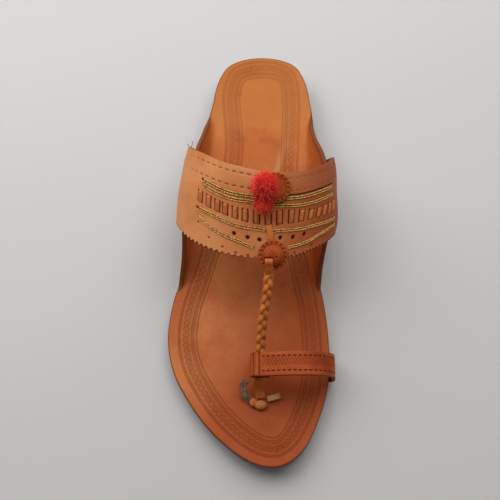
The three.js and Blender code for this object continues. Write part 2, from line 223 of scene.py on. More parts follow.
def pulse(x, centre, half, soft):
    """1 inside centre plus or minus half, easing to 0 over soft on both sides."""
    return smooth((half + soft - np.abs(x - centre)) / soft)


def from_cell(x, pitch):
    """Distance from the middle of the nearest of even cells."""
    return np.abs((x / pitch) % 1 - 0.5) * pitch


def unit(vectors):
    """Vectors at length 1 along their last axis."""
    length = np.linalg.norm(vectors, axis=-1, keepdims=True)
    return vectors / np.maximum(length, 1e-9)


def lengths(path):
    """Length along a path up to each of its points."""
    return np.concatenate([[0.0], np.cumsum(np.linalg.norm(np.diff(path, axis=0), axis=1))])


def signed_power(x, power):
    """The size of x raised to a power, with the sign of x."""
    return np.sign(x) * np.abs(x) ** power


SOLE_MIDDLE = (HEEL_BACK + TOE_TIP) / 2
SOLE_REACH = (TOE_TIP - HEEL_BACK) / 2


def turn_at(y):
    """The outline's turn angle at y: 0 at the heel's back, pi at the toe tip."""
    return np.arccos(np.clip((SOLE_MIDDLE - y) / SOLE_REACH, -1.0, 1.0))


OUTLINE_TURNS = turn_at(OUTLINE["y"])
HALF_WIDTHS = (OUTLINE["outer"] - OUTLINE["inner"]) / 2
TURNS = np.concatenate([[0.0], OUTLINE_TURNS, [math.pi]])
GIRTHS = np.concatenate([[HEEL_ROUND], HALF_WIDTHS / np.sin(OUTLINE_TURNS), [TOE_ROUND]])
SPINES = np.concatenate([[0.0], (OUTLINE["outer"] + OUTLINE["inner"]) / 2, [TOE_TIP_X]])


def edge_x(y, side):
    """The sole's edge: the middle line plus side times the sine of the turn times the girth."""
    turn = turn_at(y)
    return through(TURNS, SPINES, turn) + side * np.sin(turn) * through(TURNS, GIRTHS, turn)


def rise(y):
    """Height of the outsole's underside: heel lift, eased arch, flat ball and toe spring."""
    arch = 1.0 - smooth((y - ARCH_FROM) / (BALL_FROM - ARCH_FROM))
    spring = np.clip((y - BALL_TO) / (TOE_TIP - BALL_TO), 0.0, 1.0)
    return HEEL_LIFT * arch + TOE_SPRING * spring * spring


def insole_base(y):
    """Height of the insole's underside."""
    return rise(y) + OUTSOLE_WALL + GAP


def last_point(y, side, k):
    """The last's skin. k from 0 to 1 is a parabola round the fold at the sole's edge, 1 to 2 the
    side, leaning out and turning upright at its widest, 2 to 3 a quarter ellipse to the crown."""
    y, side, k = np.broadcast_arrays(*(np.asarray(a, float) for a in (y, side, k)))
    edge = edge_x(y, side)
    base = insole_base(y)
    wide = sided(LAST, y, side)
    side_z = through(LAST["y"], LAST["side_z"], y)
    crown_x = through(LAST["y"], LAST["crown_x"], y)
    crown_z = through(LAST["y"], LAST["crown_z"], y)
    angle = (np.clip(k, 2, 3) - 2) * math.pi / 2
    arch_x = crown_x + (wide - crown_x) * np.cos(angle)
    arch_z = side_z + (crown_z - side_z) * np.sin(angle)
    q = FOLD_SHARE + (1 - FOLD_SHARE) * (np.clip(k, 1, 2) - 1)
    wall_x = edge + (wide - edge) * (1 - (1 - q) ** 2)
    wall_z = base + (side_z - base) * q
    end_x = edge + (wide - edge) * (1 - (1 - FOLD_SHARE) ** 2)
    end_z = base + (side_z - base) * FOLD_SHARE
    low = np.clip(k, 0, 1)
    corner = edge + (wide - edge) * FOLD_SHARE**2
    fold_x = (1 - low) ** 2 * (edge - side * FOLD) + 2 * low * (1 - low) * corner + low**2 * end_x
    fold_z = (1 - low**2) * base + low**2 * end_z
    x = np.where(k >= 2, arch_x, np.where(k >= 1, wall_x, fold_x))
    z = np.where(k >= 2, arch_z, np.where(k >= 1, wall_z, fold_z))
    return np.stack([x, y + 0 * x, z], -1)


def last_normal(y, side, k):
    """Outward unit normal of the last's skin, from small steps along y and k."""
    held = np.clip(k, 0.005, 2.995)
    along_y = last_point(y + 0.5, side, held) - last_point(y - 0.5, side, held)
    along_k = last_point(y, side, held + 0.004) - last_point(y, side, held - 0.004)
    return unit(np.cross(along_y, along_k)) * np.asarray(side, float)[..., None]


# ---------------------------------------------------------------- meshes from grids of points

def put_mesh(name, points, faces, uv=None, marks=None, sharp=None):
    """A closed mesh from points in millimetres and quads. Equal points are joined, folded quads
    become triangles, and all faces are turned outwards by the sign of the enclosed volume."""
    points = points.reshape(-1, 3)
    _, first, back = np.unique(np.round(points, 4), axis=0, return_index=True, return_inverse=True)
    back = back.reshape(-1)
    kept = points[first]
    corners = back[faces]
    a, b, c, d = (kept[corners[:, i]] for i in range(4))
    volume = np.sum(a * np.cross(b, c)) + np.sum(a * np.cross(c, d))
    if volume < 0:
        faces = faces[:, ::-1]
        corners = corners[:, ::-1]
    same = corners == np.roll(corners, -1, axis=1)
    folds = same.sum(1)
    whole = folds == 0
    split = folds == 1
    order = np.argsort(same[split], axis=1, kind="stable")[:, :3]
    order = np.sort(order, axis=1)
    thin = np.take_along_axis(faces[split], order, axis=1)
    tri = back[thin]
    quads = back[faces[whole]]
    mesh = bpy.data.meshes.new(name)
    mesh.from_pydata((kept * MM).tolist(), [], quads.tolist() + tri.tolist())
    loops = np.concatenate([faces[whole].ravel(), thin.ravel()])
    if uv is not None:
        layer = mesh.uv_layers.new(name="pattern")
        layer.data.foreach_set("uv", (uv.reshape(-1, 2)[loops] / UV_MM).astype(np.float32).ravel())
    for title, values in (marks or {}).items():
        layer = mesh.attributes.new(title, "FLOAT", "POINT")
        layer.data.foreach_set("value", values.ravel()[first].astype(np.float32))
    mesh.validate()
    mesh.polygons.foreach_set("use_smooth", np.ones(len(mesh.polygons), bool))
    if sharp is not None:
        mesh.set_sharp_from_angle(angle=math.radians(sharp))
    piece = bpy.data.objects.new(name, mesh)
    bpy.context.scene.collection.objects.link(piece)
    return piece


def grid_quads(rows, columns, closed=True):
    """Quads of a grid of points numbered row by row, its rows closed round where asked."""
    i = np.arange(rows - 1)
    j = np.arange(columns if closed else columns - 1)
    i, j = (a.ravel() for a in np.meshgrid(i, j, indexing="ij"))
    after = (j + 1) % columns
    cells = [i * columns + j, (i + 1) * columns + j, (i + 1) * columns + after, i * columns + after]
    return np.stack(cells, -1)


def capped_rings(rings):
    """Quads along a row of flat rings, with quads across both end rings."""
    rows, count = rings.shape[:2]
    i = np.arange(count // 2 - 1)
    cap = np.stack([i, i + 1, count - 2 - i, count - 1 - i], -1)
    return np.concatenate([grid_quads(rows, count), cap[:, ::-1], cap + (rows - 1) * count])


ANY_UP = np.array([0.31, 0.12, 0.94])


def tubes(paths, radius, sides, flat=1.0, ups=None, square=1.0):
    """Tubes along many paths at once. Each ring lies across its path, with a cosine along one
    direction and a flattened sine along the other, both raised to the power square; the ends
    close with a fan drawn in to the path's end."""
    many, steps = paths.shape[:2]
    along = unit(np.gradient(paths, axis=1))
    if ups is None:
        ups = np.broadcast_to(ANY_UP, paths.shape)
    across = unit(np.cross(along, ups))
    up = np.cross(across, along)
    angle = np.linspace(0, 2 * math.pi, sides, endpoint=False)
    wide = signed_power(np.cos(angle), square)
    tall = signed_power(np.sin(angle), square) * flat
    radius = np.broadcast_to(np.asarray(radius, float), (many, steps))[..., None, None]
    ring = across[:, :, None] * wide[:, None] + up[:, :, None] * tall[:, None]
    rings = paths[:, :, None] + ring * radius
    ends = np.repeat(paths[:, [0, -1], None], sides, axis=2)
    rings = np.concatenate([ends[:, :1], rings, ends[:, 1:]], axis=1)
    one = grid_quads(steps + 2, sides)
    step = (steps + 2) * sides
    faces = (one[None] + (np.arange(many) * step)[:, None, None]).reshape(-1, 4)
    return rings.reshape(-1, 3), faces


def joined(parts):
    """Several (points, faces) as one."""
    starts = np.cumsum([0] + [len(points) for points, _ in parts[:-1]])
    points = np.concatenate([points for points, _ in parts])
    faces = np.concatenate([faces + start for (_, faces), start in zip(parts, starts)])
    return points, faces


EDGE_BULGE = 0.45
EDGE_POINTS = 5
EDGE_SQUARE = 0.6
RIM_SOFT = 0.8


def edge_round(count):
    """Heights from 1 to -1 and reaches of points round a squared-off half ellipse."""
    angle = np.linspace(0, math.pi, count + 2)[1:-1]
    return signed_power(np.cos(angle), EDGE_SQUARE), signed_power(np.sin(angle), EDGE_SQUARE)


def rounded_edge(upper, lower, outward):
    """Points round a sheet's edge from upper to lower, which stand out by EDGE_BULGE."""
    height, reach = edge_round(EDGE_POINTS)
    middle = (upper + lower) / 2
    half = (upper - lower) / 2
    return (middle[..., None, :] + half[..., None, :] * height[:, None]
            + outward[..., None, :] * (EDGE_BULGE * reach)[:, None])


def strap_ring(low, high, across, under, corners):
    """A ring round a strap between two heights: v across it, the height, how far it is pushed
    out over an edge, and 1 on its face."""
    top = np.linspace(0, 1, across)
    back = np.linspace(1, 0, under)
    tall, reach = edge_round(corners)
    side = (low + high) / 2 + (high - low) / 2 * tall
    v = np.concatenate([top, 0 * tall + 1, back, 0 * tall])
    height = np.concatenate([0 * top + high, side, 0 * back + low, side[::-1]])
    push = np.concatenate([0 * top, reach, 0 * back, -reach])
    return v, height, push, (np.arange(len(v)) < across).astype(float)


# ---------------------------------------------------------------- curves

def spline(corners, shares):
    """Centripetal Catmull-Rom curve through corners, at shares of its corner count: its steps
    grow with the square root of each chord."""
    ends = [2 * corners[0] - corners[1]], corners, [2 * corners[-1] - corners[-2]]
    held = np.concatenate(ends)
    chord = np.sum(np.diff(held, axis=0) ** 2, axis=1) ** 0.25
    at = np.clip(shares, 0, 1) * (len(corners) - 1)
    i = np.clip(np.floor(at).astype(int), 0, len(corners) - 2)
    t = (at - i)[:, None]
    p0, p1, p2, p3 = (held[i + j] for j in range(4))
    d0, d1, d2 = (chord[i + j][:, None] for j in range(3))
    leave = ((p1 - p0) / d0 - (p2 - p0) / (d0 + d1) + (p2 - p1) / d1) * d1
    arrive = ((p2 - p1) / d1 - (p3 - p1) / (d1 + d2) + (p3 - p2) / d2) * d1
    level = (2 * t**3 - 3 * t**2 + 1) * p1 + (3 * t**2 - 2 * t**3) * p2
    return level + (t**3 - 2 * t**2 + t) * leave + (t**3 - t**2) * arrive


def even_spline(corners, count):
    """Points on that curve at even steps of its length."""
    dense = spline(np.asarray(corners, float), np.linspace(0, 1, 600))
    length = lengths(dense)
    at = np.linspace(0, length[-1], count)
    return np.stack([np.interp(at, length, dense[:, i]) for i in range(3)], -1)


# ---------------------------------------------------------------- the sole

SOLE_TURNS = np.linspace(0, math.pi, 320)
HEEL_STATIONS = 110
BREAST_BEND_FROM = 10.0
PLATE_INSETS = np.array([0, 0.6, 1.5, 3, 5])
PLATE_ACROSS = np.linspace(0, 1, 12)
STEP = 1e-3
CHAIN = table("y outer inner", [
    [-33, 7.0, 7.0],
    [-20, 8.6, 8.4],
    [-2, 10.4, 10.8],
    [17, 13.6, 11.6],
    [36, 15.6, 11.2],
    [70, 14.8, 10.6],
    [104, 12.9, 9.8],
    [137, 11.2, 9.2],
    [175, 10.9, 9.4],
    [205, 10.4, 9.2],
    [236, 10.2, 10.2],
])
CHAIN_PITCH = 4.1


def sole_rim(turns, side):
    """Plan points of the sole's edge and the inward normals there."""
    def rim(turn):
        """The edge at a turn, its place along the foot by the cosine."""
        y = SOLE_MIDDLE - SOLE_REACH * np.cos(turn)
        reach = through(TURNS, GIRTHS, turn)
        return np.stack([through(TURNS, SPINES, turn) + side * np.sin(turn) * reach, y], -1)
    ahead = rim(np.clip(turns + STEP, 0, math.pi)) - rim(np.clip(turns - STEP, 0, math.pi))
    inward = unit(np.stack([-ahead[:, 1], ahead[:, 0]], -1)) * side
    inward[turns < STEP] = [0.0, 1.0]
    inward[turns > math.pi - STEP] = [0.0, -1.0]
    return rim(turns), inward


def plate(name, turns, lower, upper, bend=None, open_end=False, sharp=None):
    """A leather plate with the sole's outline: rows from the inner edge to the outer one, bent by
    a function of the plan, whose heights are two functions of y, and an edge rounded with the
    thickness. An open last row is closed with quads across it."""
    insets = (PLATE_INSETS + EDGE_BULGE)[:, None]
    rims = [sole_rim(turns, side) for side in (-1.0, 1.0)]
    inner, outer = (rim[:, None] + inward[:, None] * insets for rim, inward in rims)
    blend = PLATE_ACROSS[None, 1:-1, None]
    middle = inner[:, -1:] * (1 - blend) + outer[:, -1:] * blend
    plan = np.concatenate([inner, middle, outer[:, ::-1]], axis=1)
    if bend:
        plan = bend(plan)
    x, y = plan[..., 0], plan[..., 1]
    top = np.stack([x, y, upper(y)], -1)
    bottom = np.stack([x, y, lower(y)], -1)
    flat = np.zeros((len(turns), 1))
    left_out, right_out = (np.concatenate([-inward, flat], 1) for _, inward in rims)
    right = rounded_edge(top[:, -1], bottom[:, -1], right_out)
    left = rounded_edge(bottom[:, 0], top[:, 0], left_out)
    rings = np.concatenate([top, right, bottom[:, ::-1], left], axis=1)
    rows, count = rings.shape[:2]
    faces = [grid_quads(rows, count)]
    if open_end:
        width = plan.shape[1]
        start = (rows - 1) * count
        i = np.arange(width - 1)
        low = 2 * width + EDGE_POINTS - 1 - i
        faces.append(start + np.stack([i, i + 1, low - 1, low], -1))
        for first in (width - 1, 2 * width + EDGE_POINTS - 1):
            ring = (first + np.arange(EDGE_POINTS + 2)) % count
            near = ring[:EDGE_POINTS // 2 + 2]
            far = ring[::-1][:EDGE_POINTS // 2 + 2]
            faces.append(start + np.stack([near[:-1], near[1:], far[1:], far[:-1]], -1))
    return put_mesh(name, rings, np.concatenate(faces), sharp=sharp)


def nearest_edge(plan, rim, run):
    """For rows of plan points, the distance to a side's edge line and the length along it of the
    nearest place: the nearest of its points, corrected along the line's own direction."""
    along = unit(np.gradient(rim, axis=0))
    far, near = [], []
    for row in plan:
        gap = row[:, None] - rim[None]
        best = np.argmin(np.sum(gap * gap, -1), 1)
        off = gap[np.arange(len(row)), best]
        ahead = np.sum(off * along[best], -1)
        far.append(np.sqrt(np.maximum(np.sum(off * off, -1) - ahead * ahead, 0)))
        near.append(run[best] + ahead)
    return np.array(far), np.array(near)


EARS_MIDDLE = 62.0
EARS_REACH = 66.0
EARS_SOFT = 4.0
WALL_EASE = 12.0


def insole_half(turns, side, shares):
    """One side of the insole's underside, from the ear's rim to its fold. The ear eases from the
    flat sole to the last's skin as it lifts. Gives the skin, its flat plan, its wall and lift."""
    rim, inward = sole_rim(turns, side)
    fold = np.minimum(FOLD, np.sin(turns) * through(TURNS, GIRTHS, turns) / 3 + 2)
    lift_here = sided(EARS, rim[:, 1], side)
    share = shares[None] * (1 - EDGE_BULGE / (fold + lift_here))[:, None]
    plan = rim[:, None] + inward[:, None] * (fold[:, None] * (1 - share))[..., None]
    y = plan[..., 1]
    lift = sided(EARS, y, side) * (1 - smooth((np.abs(y - EARS_MIDDLE) - EARS_REACH) / EARS_SOFT))
    side_z = through(LAST["y"], LAST["side_z"], y)
    part = lift / (side_z - insole_base(y))
    low_end = 0.5 + 0.5 * part / FOLD_SHARE
    end_k = np.where(part < FOLD_SHARE, low_end, 1 + (part - FOLD_SHARE) / (1 - FOLD_SHARE))
    spread = EAR_SPREAD * (1 - smooth(y / BALL_FROM))
    flat = np.stack([plan[..., 0] + side * lift * spread * share, y, insole_base(y)], -1)
    ear = last_point(y, side, end_k * share)
    weight = smooth(lift / EAR_UPRIGHT)[..., None]
    wall = INSOLE_WALL + (EAR_WALL - INSOLE_WALL) * smooth(share * lift / WALL_EASE)
    return flat * (1 - weight) + ear * weight, plan, wall, lift * share


INSOLE_ACROSS = 84
RIM_STEPS = 1500
EAR_SHARES = np.concatenate([np.linspace(1, 0.45, 12), np.linspace(0.4, 0, 9)])
RIM_BURNISH = (0.9, 0.35)
UNDER_PATTERN = 90.0


def insole_pattern(plan):
    """The insole's pattern at plan points: the length along the nearer edge, scaled to whole
    pitches of the chain, and the distance inwards from the chain's middle line."""
    fine = np.linspace(0, math.pi, RIM_STEPS)
    runs, acrosses = [], []
    for side in (-1.0, 1.0):
        rim = sole_rim(fine, side)[0]
        run = lengths(rim)
        run = run * (CHAIN_PITCH * round(run[-1] / CHAIN_PITCH) / run[-1])
        far, near = nearest_edge(plan, rim, run)
        acrosses.append(far - sided(CHAIN, plan[..., 1], side))
        runs.append(side * near)
    nearer = acrosses[1] < acrosses[0]
    return np.where(nearer, runs[1], runs[0]), np.where(nearer, acrosses[1], acrosses[0])


def insole_sheet():
    """The insole's underside, plan, wall and lift: both ears' skins joined by straight rows."""
    halves = [insole_half(SOLE_TURNS, side, EAR_SHARES) for side in (-1.0, 1.0)]
    blend = np.linspace(0, 1, INSOLE_ACROSS)[1:-1][None, :, None]
    sheet = []
    for left, right in zip(*halves):
        if left.ndim == 2:
            middle = np.broadcast_to(left[:, -1:], (len(left), INSOLE_ACROSS - 2))
        else:
            middle = left[:, -1:] * (1 - blend) + right[:, -1:] * blend
        sheet.append(np.concatenate([left, middle, right[:, ::-1]], 1))
    low = sheet[0]
    inside = slice(len(EAR_SHARES), len(EAR_SHARES) + INSOLE_ACROSS - 2)
    low[:, inside, 2] = insole_base(low[:, inside, 1])
    return sheet


def insole_leather():
    """The insole: its sheet, a wall above it along the skin's own normal where it lifts, and a
    rounded, burnished rim."""
    low, plan, wall, lift = insole_sheet()
    bent = unit(np.cross(np.gradient(low, axis=0), np.gradient(low, axis=1)))
    bent = bent * np.sign(bent[..., 2:] + 1e-9)
    weight = smooth(lift / 2)[..., None]
    normal = unit(bent * weight + np.array([0, 0, 1.0]) * (1 - weight))
    high = low + normal * wall[..., None]
    outs = [unit(low[:, 0] - low[:, 1]), unit(low[:, -1] - low[:, -2])]
    for out, side in zip(outs, (-1.0, 1.0)):
        out[[0, -1], :2] = -sole_rim(SOLE_TURNS, side)[1][[0, -1]]
        out[[0, -1], 2] = 0
    right = rounded_edge(high[:, -1], low[:, -1], outs[1])
    left = rounded_edge(low[:, 0], high[:, 0], outs[0])
    rings = np.concatenate([high, right, low[:, ::-1], left], 1)
    rows, count = rings.shape[:2]
    width = low.shape[1]
    tall = np.zeros((rows, count))
    tall[:, :width] = lift
    burnish = np.zeros((rows, count))
    burnish[:, width:] = 1.0
    for step, level in enumerate(RIM_BURNISH):
        burnish[:, [step, width - 1 - step]] = level
    uv = np.full((rows, count, 2), UNDER_PATTERN)
    uv[:, :width] = np.stack(insole_pattern(plan), -1)
    marks = {"lift": tall, "edge": burnish}
    return put_mesh("insole_leather", rings, grid_quads(rows, count), uv, marks)


def outsole_leather():
    """The outsole: a plate from its underside's rise, as thick as the sole leather."""
    return plate("outsole_leather", SOLE_TURNS, rise, lambda y: rise(y) + OUTSOLE_WALL)


def hollow_breast(plan):
    """Draws the heel's front rows back by a parabola across the heel, in full at the last row."""
    x, y = plan[..., 0], plan[..., 1]
    left, right = edge_x(y, -1.0), edge_x(y, 1.0)
    across = (2 * x - left - right) / (right - left)
    share = np.clip((y - BREAST_BEND_FROM) / (BREAST_Y + BREAST_HOLLOW - BREAST_BEND_FROM), 0, 1)
    return np.stack([x, y - BREAST_HOLLOW * (1 - across**2) * share], -1)


def heel_leather():
    """The heel lift: a plate on the floor up to the outsole, ending in a hollow breast."""
    turns = np.linspace(0, turn_at(BREAST_Y + BREAST_HOLLOW), HEEL_STATIONS)
    return plate("heel_leather", turns, lambda y: 0 * y, lambda y: rise(y) - GAP,
                 bend=hollow_breast, open_end=True, sharp=40)


# ---------------------------------------------------------------- the instep band

TOOTH_COLUMNS = 8
BAND_ROWS = 112
BAND_BACK_ROWS = 14
BAND_SWELL = 0.125
TEETH_FROM_V = 0.9
BACK_PATTERN = 300.0
ARC_STEPS = np.linspace(0, 1, 801)


def band_k(share):
    """The last's k along the band: over the arch, then down the side."""
    arch = 3 - share / BAND_ARCH_SHARE
    leg = 2 + (BAND_END_K - 2) * (share - BAND_ARCH_SHARE) / (1 - BAND_ARCH_SHARE)
    return np.where(share < BAND_ARCH_SHARE, arch, leg)


def band_y(share, side, v):
    """The band's place along the foot, between its rear and its front edge."""
    rear = sided(BAND, share, side, "rear_")
    return rear * (1 - v) + sided(BAND, share, side, "front_") * v


def band_skin(share, side, v, height):
    """A point over the last: share from the crown to the band's end, v from its rear edge to its
    front edge, and height above the band's inner face along the last's normal."""
    share, side, v, height = np.broadcast_arrays(
        *(np.asarray(a, float) for a in (share, side, v, height)))
    y = band_y(share, side, v)
    k = band_k(share)
    return last_point(y, side, k) + last_normal(y, side, k) * (SEAM_GAP + height)[..., None]


def band_arc(side):
    """Length from the crown along the band's middle, at ARC_STEPS of the share."""
    return lengths(band_skin(ARC_STEPS, side, 0.5, BAND_WALL))


BAND_ARCS = {1.0: band_arc(1.0), -1.0: band_arc(-1.0)}


def band_at(u, v, height):
    """A point over the band by its length u from the crown, positive to the outer side."""
    u, v, height = np.broadcast_arrays(*(np.asarray(a, float) for a in (u, v, height)))
    side = np.where(u < 0, -1.0, 1.0)
    outer = np.interp(np.abs(u), BAND_ARCS[1.0], ARC_STEPS)
    share = np.where(u < 0, np.interp(np.abs(u), BAND_ARCS[-1.0], ARC_STEPS), outer)
    return band_skin(share, side, v, height)


# Lines along the band as [length from the crown, v]; then the places of its units and holes.
BAND_LINES = {
    "rear_dashes": [[-60, 0.08], [0, 0.075], [60, 0.085]],
    "second_dashes": [[-55, 0.225], [0, 0.225], [58, 0.235]],
    "gold_a": [[-47, 0.325], [-42.5, 0.32], [-6, 0.305], [9, 0.305], [22, 0.315], [33, 0.30],
               [42, 0.285]],
    "gold_a_low": [[-47, 0.41], [-44, 0.41], [-6, 0.385], [9.5, 0.365], [22, 0.375], [33, 0.36],
                   [43, 0.335]],
    "row_top": [[-50, 0.495], [-43.5, 0.49], [-25, 0.48], [-18, 0.455], [8, 0.45], [15, 0.46],
                [28, 0.44], [37.5, 0.42], [47, 0.40]],
    "row_low": [[-50, 0.64], [-44, 0.635], [-25, 0.605], [-10, 0.60], [16, 0.60], [22, 0.585],
                [38.5, 0.555], [47.5, 0.53]],
    "gold_b": [[-51, 0.735], [-27.6, 0.695], [-15, 0.68], [-2, 0.665], [11, 0.66], [19, 0.655],
               [27, 0.635], [37, 0.61], [47, 0.605]],
    "gold_c": [[-53, 0.815], [-37, 0.825], [-23.5, 0.86], [-8, 0.875], [9, 0.88], [19, 0.825],
               [30, 0.785], [39, 0.74], [47, 0.675]],
}
UNITS = [-46, -41, -36, -31, -25, -18.5, -12, -5, 1.6, 8.2, 15, 21, 27, 32, 38, 44]
HOLES = [[22.1, 0.75], [14.2, 0.77], [7.4, 0.78], [-4.9, 0.75], [-13, 0.765], [-20.7, 0.76]]
DOTS = [[46, 0.76], [38, 0.875], [29, 0.925], [21, 0.955], [14, 0.965], [-14, 0.955], [-27, 0.93]]
END_HOLES = [[42.6, 0.285], [46.5, 0.605]]
SLIT_HALF = 1.5
SLIT_LEAN = 0.5
DASH_PITCH = 4.6
DASH_HALF = 1.0
DASH_SOFT = 0.45
ROW_SOFT = 0.7
GROOVE_SHIFT = 0.035
# Half-width, soft rim and depth in millimetres, and darkness, of each kind of cut. The darkness is
# partly painted shade inside the cut and partly the darker pressed leather.
CUTS = {
    "slit": (0.2, 0.4, 1.3, 1.0),
    "dash": (0.1, 0.4, 0.55, 0.85),
    "hole": (0.85, 0.55, 1.6, 1.0),
    "dot": (0.35, 0.45, 0.8, 0.9),
    "end_hole": (0.5, 0.5, 1.3, 1.0),
    "groove": (0.25, 0.45, 0.6, 0.95),
}
DASHES = (("rear_dashes", -58, 60), ("second_dashes", -52, 58))
# The gold cords' beds: line, ends along the band, and half-width. The last leaves out a place
# for the front rosette.
BEDS = (("gold_a", -45, 42, 0.9), ("gold_a_low", -46, 43, 0.8),
        ("gold_b", -50, 46, 0.5), ("gold_c", -52, 46, 0.6))
# Each bed is pressed in and darkened: painted shade under the gold cords.
BED_SOFT, BED_DEPTH, BED_SHADE = 0.5, 0.35, 0.55
ROSETTE_PLACE, ROSETTE_SOFT = 9.5, 1.5


def line_v(name, u):
    """A band line's v at u, from its few corners."""
    corners = np.array(BAND_LINES[name], float)
    return through(corners[:, 0], corners[:, 1], u)


def band_relief(u, v, width):
    """Cuts in the band's face as (depth in mm, darkness): slits, holes, dashes and grooves, each
    a soft-edged pulse of the distance from its line. The darkness is partly painted shade in the
    cuts and partly the darker pressed leather."""
    depth = 0 * u
    dark = 0 * u
    mm = v * width

    def press(mask, deep, shade):
        """Deepens and darkens the face by a mask, keeping the stronger of both."""
        nonlocal depth, dark
        depth = np.maximum(depth, mask * deep)
        dark = np.maximum(dark, mask * shade)

    def cut(kind, far, mask=1.0):
        """Presses a kind of cut at a distance from its line or place."""
        half, soft, deep, shade = CUTS[kind]
        press(pulse(far, 0, half, soft) * mask, deep, shade)

    def from_line(name, shift=0.0):
        """Distance across the band from one of its lines."""
        return mm - (line_v(name, u) - shift) * width

    top = line_v("row_top", u) * width
    low = line_v("row_low", u) * width
    inside = smooth((mm - top) / ROW_SOFT + 0.5) * smooth((low - mm) / ROW_SOFT + 0.5)
    lean = SLIT_LEAN * (mm - (top + low) / 2) / (low - top)
    for centre in UNITS:
        for shift in (-SLIT_HALF, SLIT_HALF):
            cut("slit", u - (centre + shift + lean), inside)
    run = pulse(from_cell(u, DASH_PITCH), 0, DASH_HALF, DASH_SOFT)
    bold = 0.35 + 0.65 * smooth((u + 6) / 8) * smooth((54 - u) / 14)
    for name, first, last in DASHES:
        cut("dash", from_line(name), run * smooth(u - first) * smooth(last - u) * bold)
    for kind, places in (("hole", HOLES), ("dot", DOTS), ("end_hole", END_HOLES)):
        for hole_u, hole_v in places:
            cut(kind, np.hypot(u - hole_u, mm - hole_v * width))
    for name, first, last, half in BEDS:
        row = pulse(from_line(name), 0, half, BED_SOFT)
        clear = 1 - pulse(u, 0.0, ROSETTE_PLACE, ROSETTE_SOFT) * (name == "gold_c")
        press(row * smooth(u - first) * smooth(last - u) * clear, BED_DEPTH, BED_SHADE)
    cut("groove", from_line("gold_a", GROOVE_SHIFT), smooth(-9 - u) * smooth(u + 46))
    return depth, dark


def band_leather():
    """The band: columns over the last from one end to the other, teeth cut in its front edge, and
    rings round its thickness whose ends are drawn together and pushed out."""
    shares = np.linspace(0, 1, TOOTH_COLUMNS * BAND_TEETH + 1)
    share = np.concatenate([shares[::-1], shares[1:]])
    side = np.concatenate([np.ones(len(shares)), -np.ones(len(shares) - 1)])
    arc = np.where(side > 0, np.interp(share, ARC_STEPS, BAND_ARCS[1.0]),
                   -np.interp(share, ARC_STEPS, BAND_ARCS[-1.0]))
    width = np.linalg.norm(band_skin(share, side, 1, BAND_WALL) -
                           band_skin(share, side, 0, BAND_WALL), axis=-1)
    tooth = 1 - np.abs(2 * ((share * BAND_TEETH) % 1) - 1)
    cut = (TOOTH_DEPTH * smooth(tooth) / width)[:, None]
    v, height, push, face = strap_ring(0.0, BAND_WALL, BAND_ROWS, BAND_BACK_ROWS, EDGE_POINTS)
    inset = (EDGE_BULGE / width)[:, None]
    near_front = smooth((v - TEETH_FROM_V) / (1 - TEETH_FROM_V))
    at_v = inset + v * (1 - 2 * inset) - cut * near_front + push * inset
    u = arc[:, None] + 0 * at_v
    wide = width[:, None] + 0 * at_v
    depth, dark = band_relief(u, at_v, wide)
    rim = smooth(np.minimum(at_v, 1 - cut - at_v) * wide / RIM_SOFT)
    depth = depth * face * rim
    swell = np.sin(u / 7.3 + 2.0 * at_v) * np.sin(at_v * 9.0 + u / 19.0)
    points = band_skin(share[:, None], side[:, None], at_v, height - depth + BAND_SWELL * swell)
    ends = []
    for index, order in ((0, [3, 2, 1]), (-1, [1, 2, 3])):
        ring = points[index]
        middle, before = (band_skin(at, side[index], at_v[index], BAND_WALL / 2)
                          for at in (share[index], share[index] - 0.01))
        out = unit(middle - before)
        bend = np.array(order)[:, None, None] / 3 * math.pi / 2
        close = np.maximum(np.cos(bend), 0.04)
        ends.append(middle + (ring - middle) * close + out * EDGE_BULGE * np.sin(bend))
    rings = np.concatenate([ends[0], points, ends[1]])
    pad = ((3, 3), (0, 0))
    uv = np.stack([np.pad(u, pad, mode="edge"), np.pad(at_v * wide, pad, mode="edge")], -1)
    uv[..., 1] += np.where(face > 0, 0, BACK_PATTERN)
    marks = {
        "dark": np.pad(dark * face, pad),
        "edge": np.pad(0 * u + 1 - face, pad, constant_values=1),
    }
    return put_mesh("band_leather", rings, capped_rings(rings), uv, marks)


THONG_GRID = (9, 15)
THONG_HALF = SLIT_HALF - 0.15
THONG_INSET_V = 0.008
THONG_LIFT = 0.62
THONG_SUNK = 0.25


def woven_thongs():
    """The row's thongs: over each unit a grid in u and v, its top raised by the cosine of u and
    rounded at its ends, its underside sunk into the band."""
    rows, columns = THONG_GRID
    a, b = np.meshgrid(np.linspace(-1, 1, rows), np.linspace(-1, 1, columns), indexing="ij")
    bow = np.cos(a * math.pi / 2) ** EDGE_SQUARE
    end = (1 - np.abs(b) ** 8) ** 0.5
    size = rows * columns
    upper = grid_quads(rows, columns, closed=False)
    index = np.arange(size).reshape(rows, columns)
    rim = np.concatenate([index[0, :-1], index[:-1, -1], index[-1, :0:-1], index[:0:-1, 0]])
    after = np.roll(rim, -1)
    wall = np.stack([rim, rim + size, after + size, after], -1)
    faces = np.concatenate([upper, upper[:, ::-1] + size, wall])
    parts = []
    for centre in UNITS:
        low = line_v("row_top", centre) + THONG_INSET_V
        high = line_v("row_low", centre) - THONG_INSET_V
        u = centre + a * THONG_HALF + SLIT_LEAN * b / 2
        v = (low + high) / 2 + b * (high - low) / 2
        top = band_at(u, v, BAND_WALL + THONG_LIFT * bow * end)
        bottom = band_at(u, v, BAND_WALL - THONG_SUNK + 0 * bow)
        parts.append((np.concatenate([top, bottom]).reshape(-1, 3), faces))
    return put_mesh("woven_thongs", *joined(parts), sharp=50)


TWIST_PITCH = 3.6
TWIST_SPREAD = 0.85
RUN_STEP = 0.42
BAND_WIDTH = 51.0
END_SINK = 1.4
END_SLOPE = 1.6


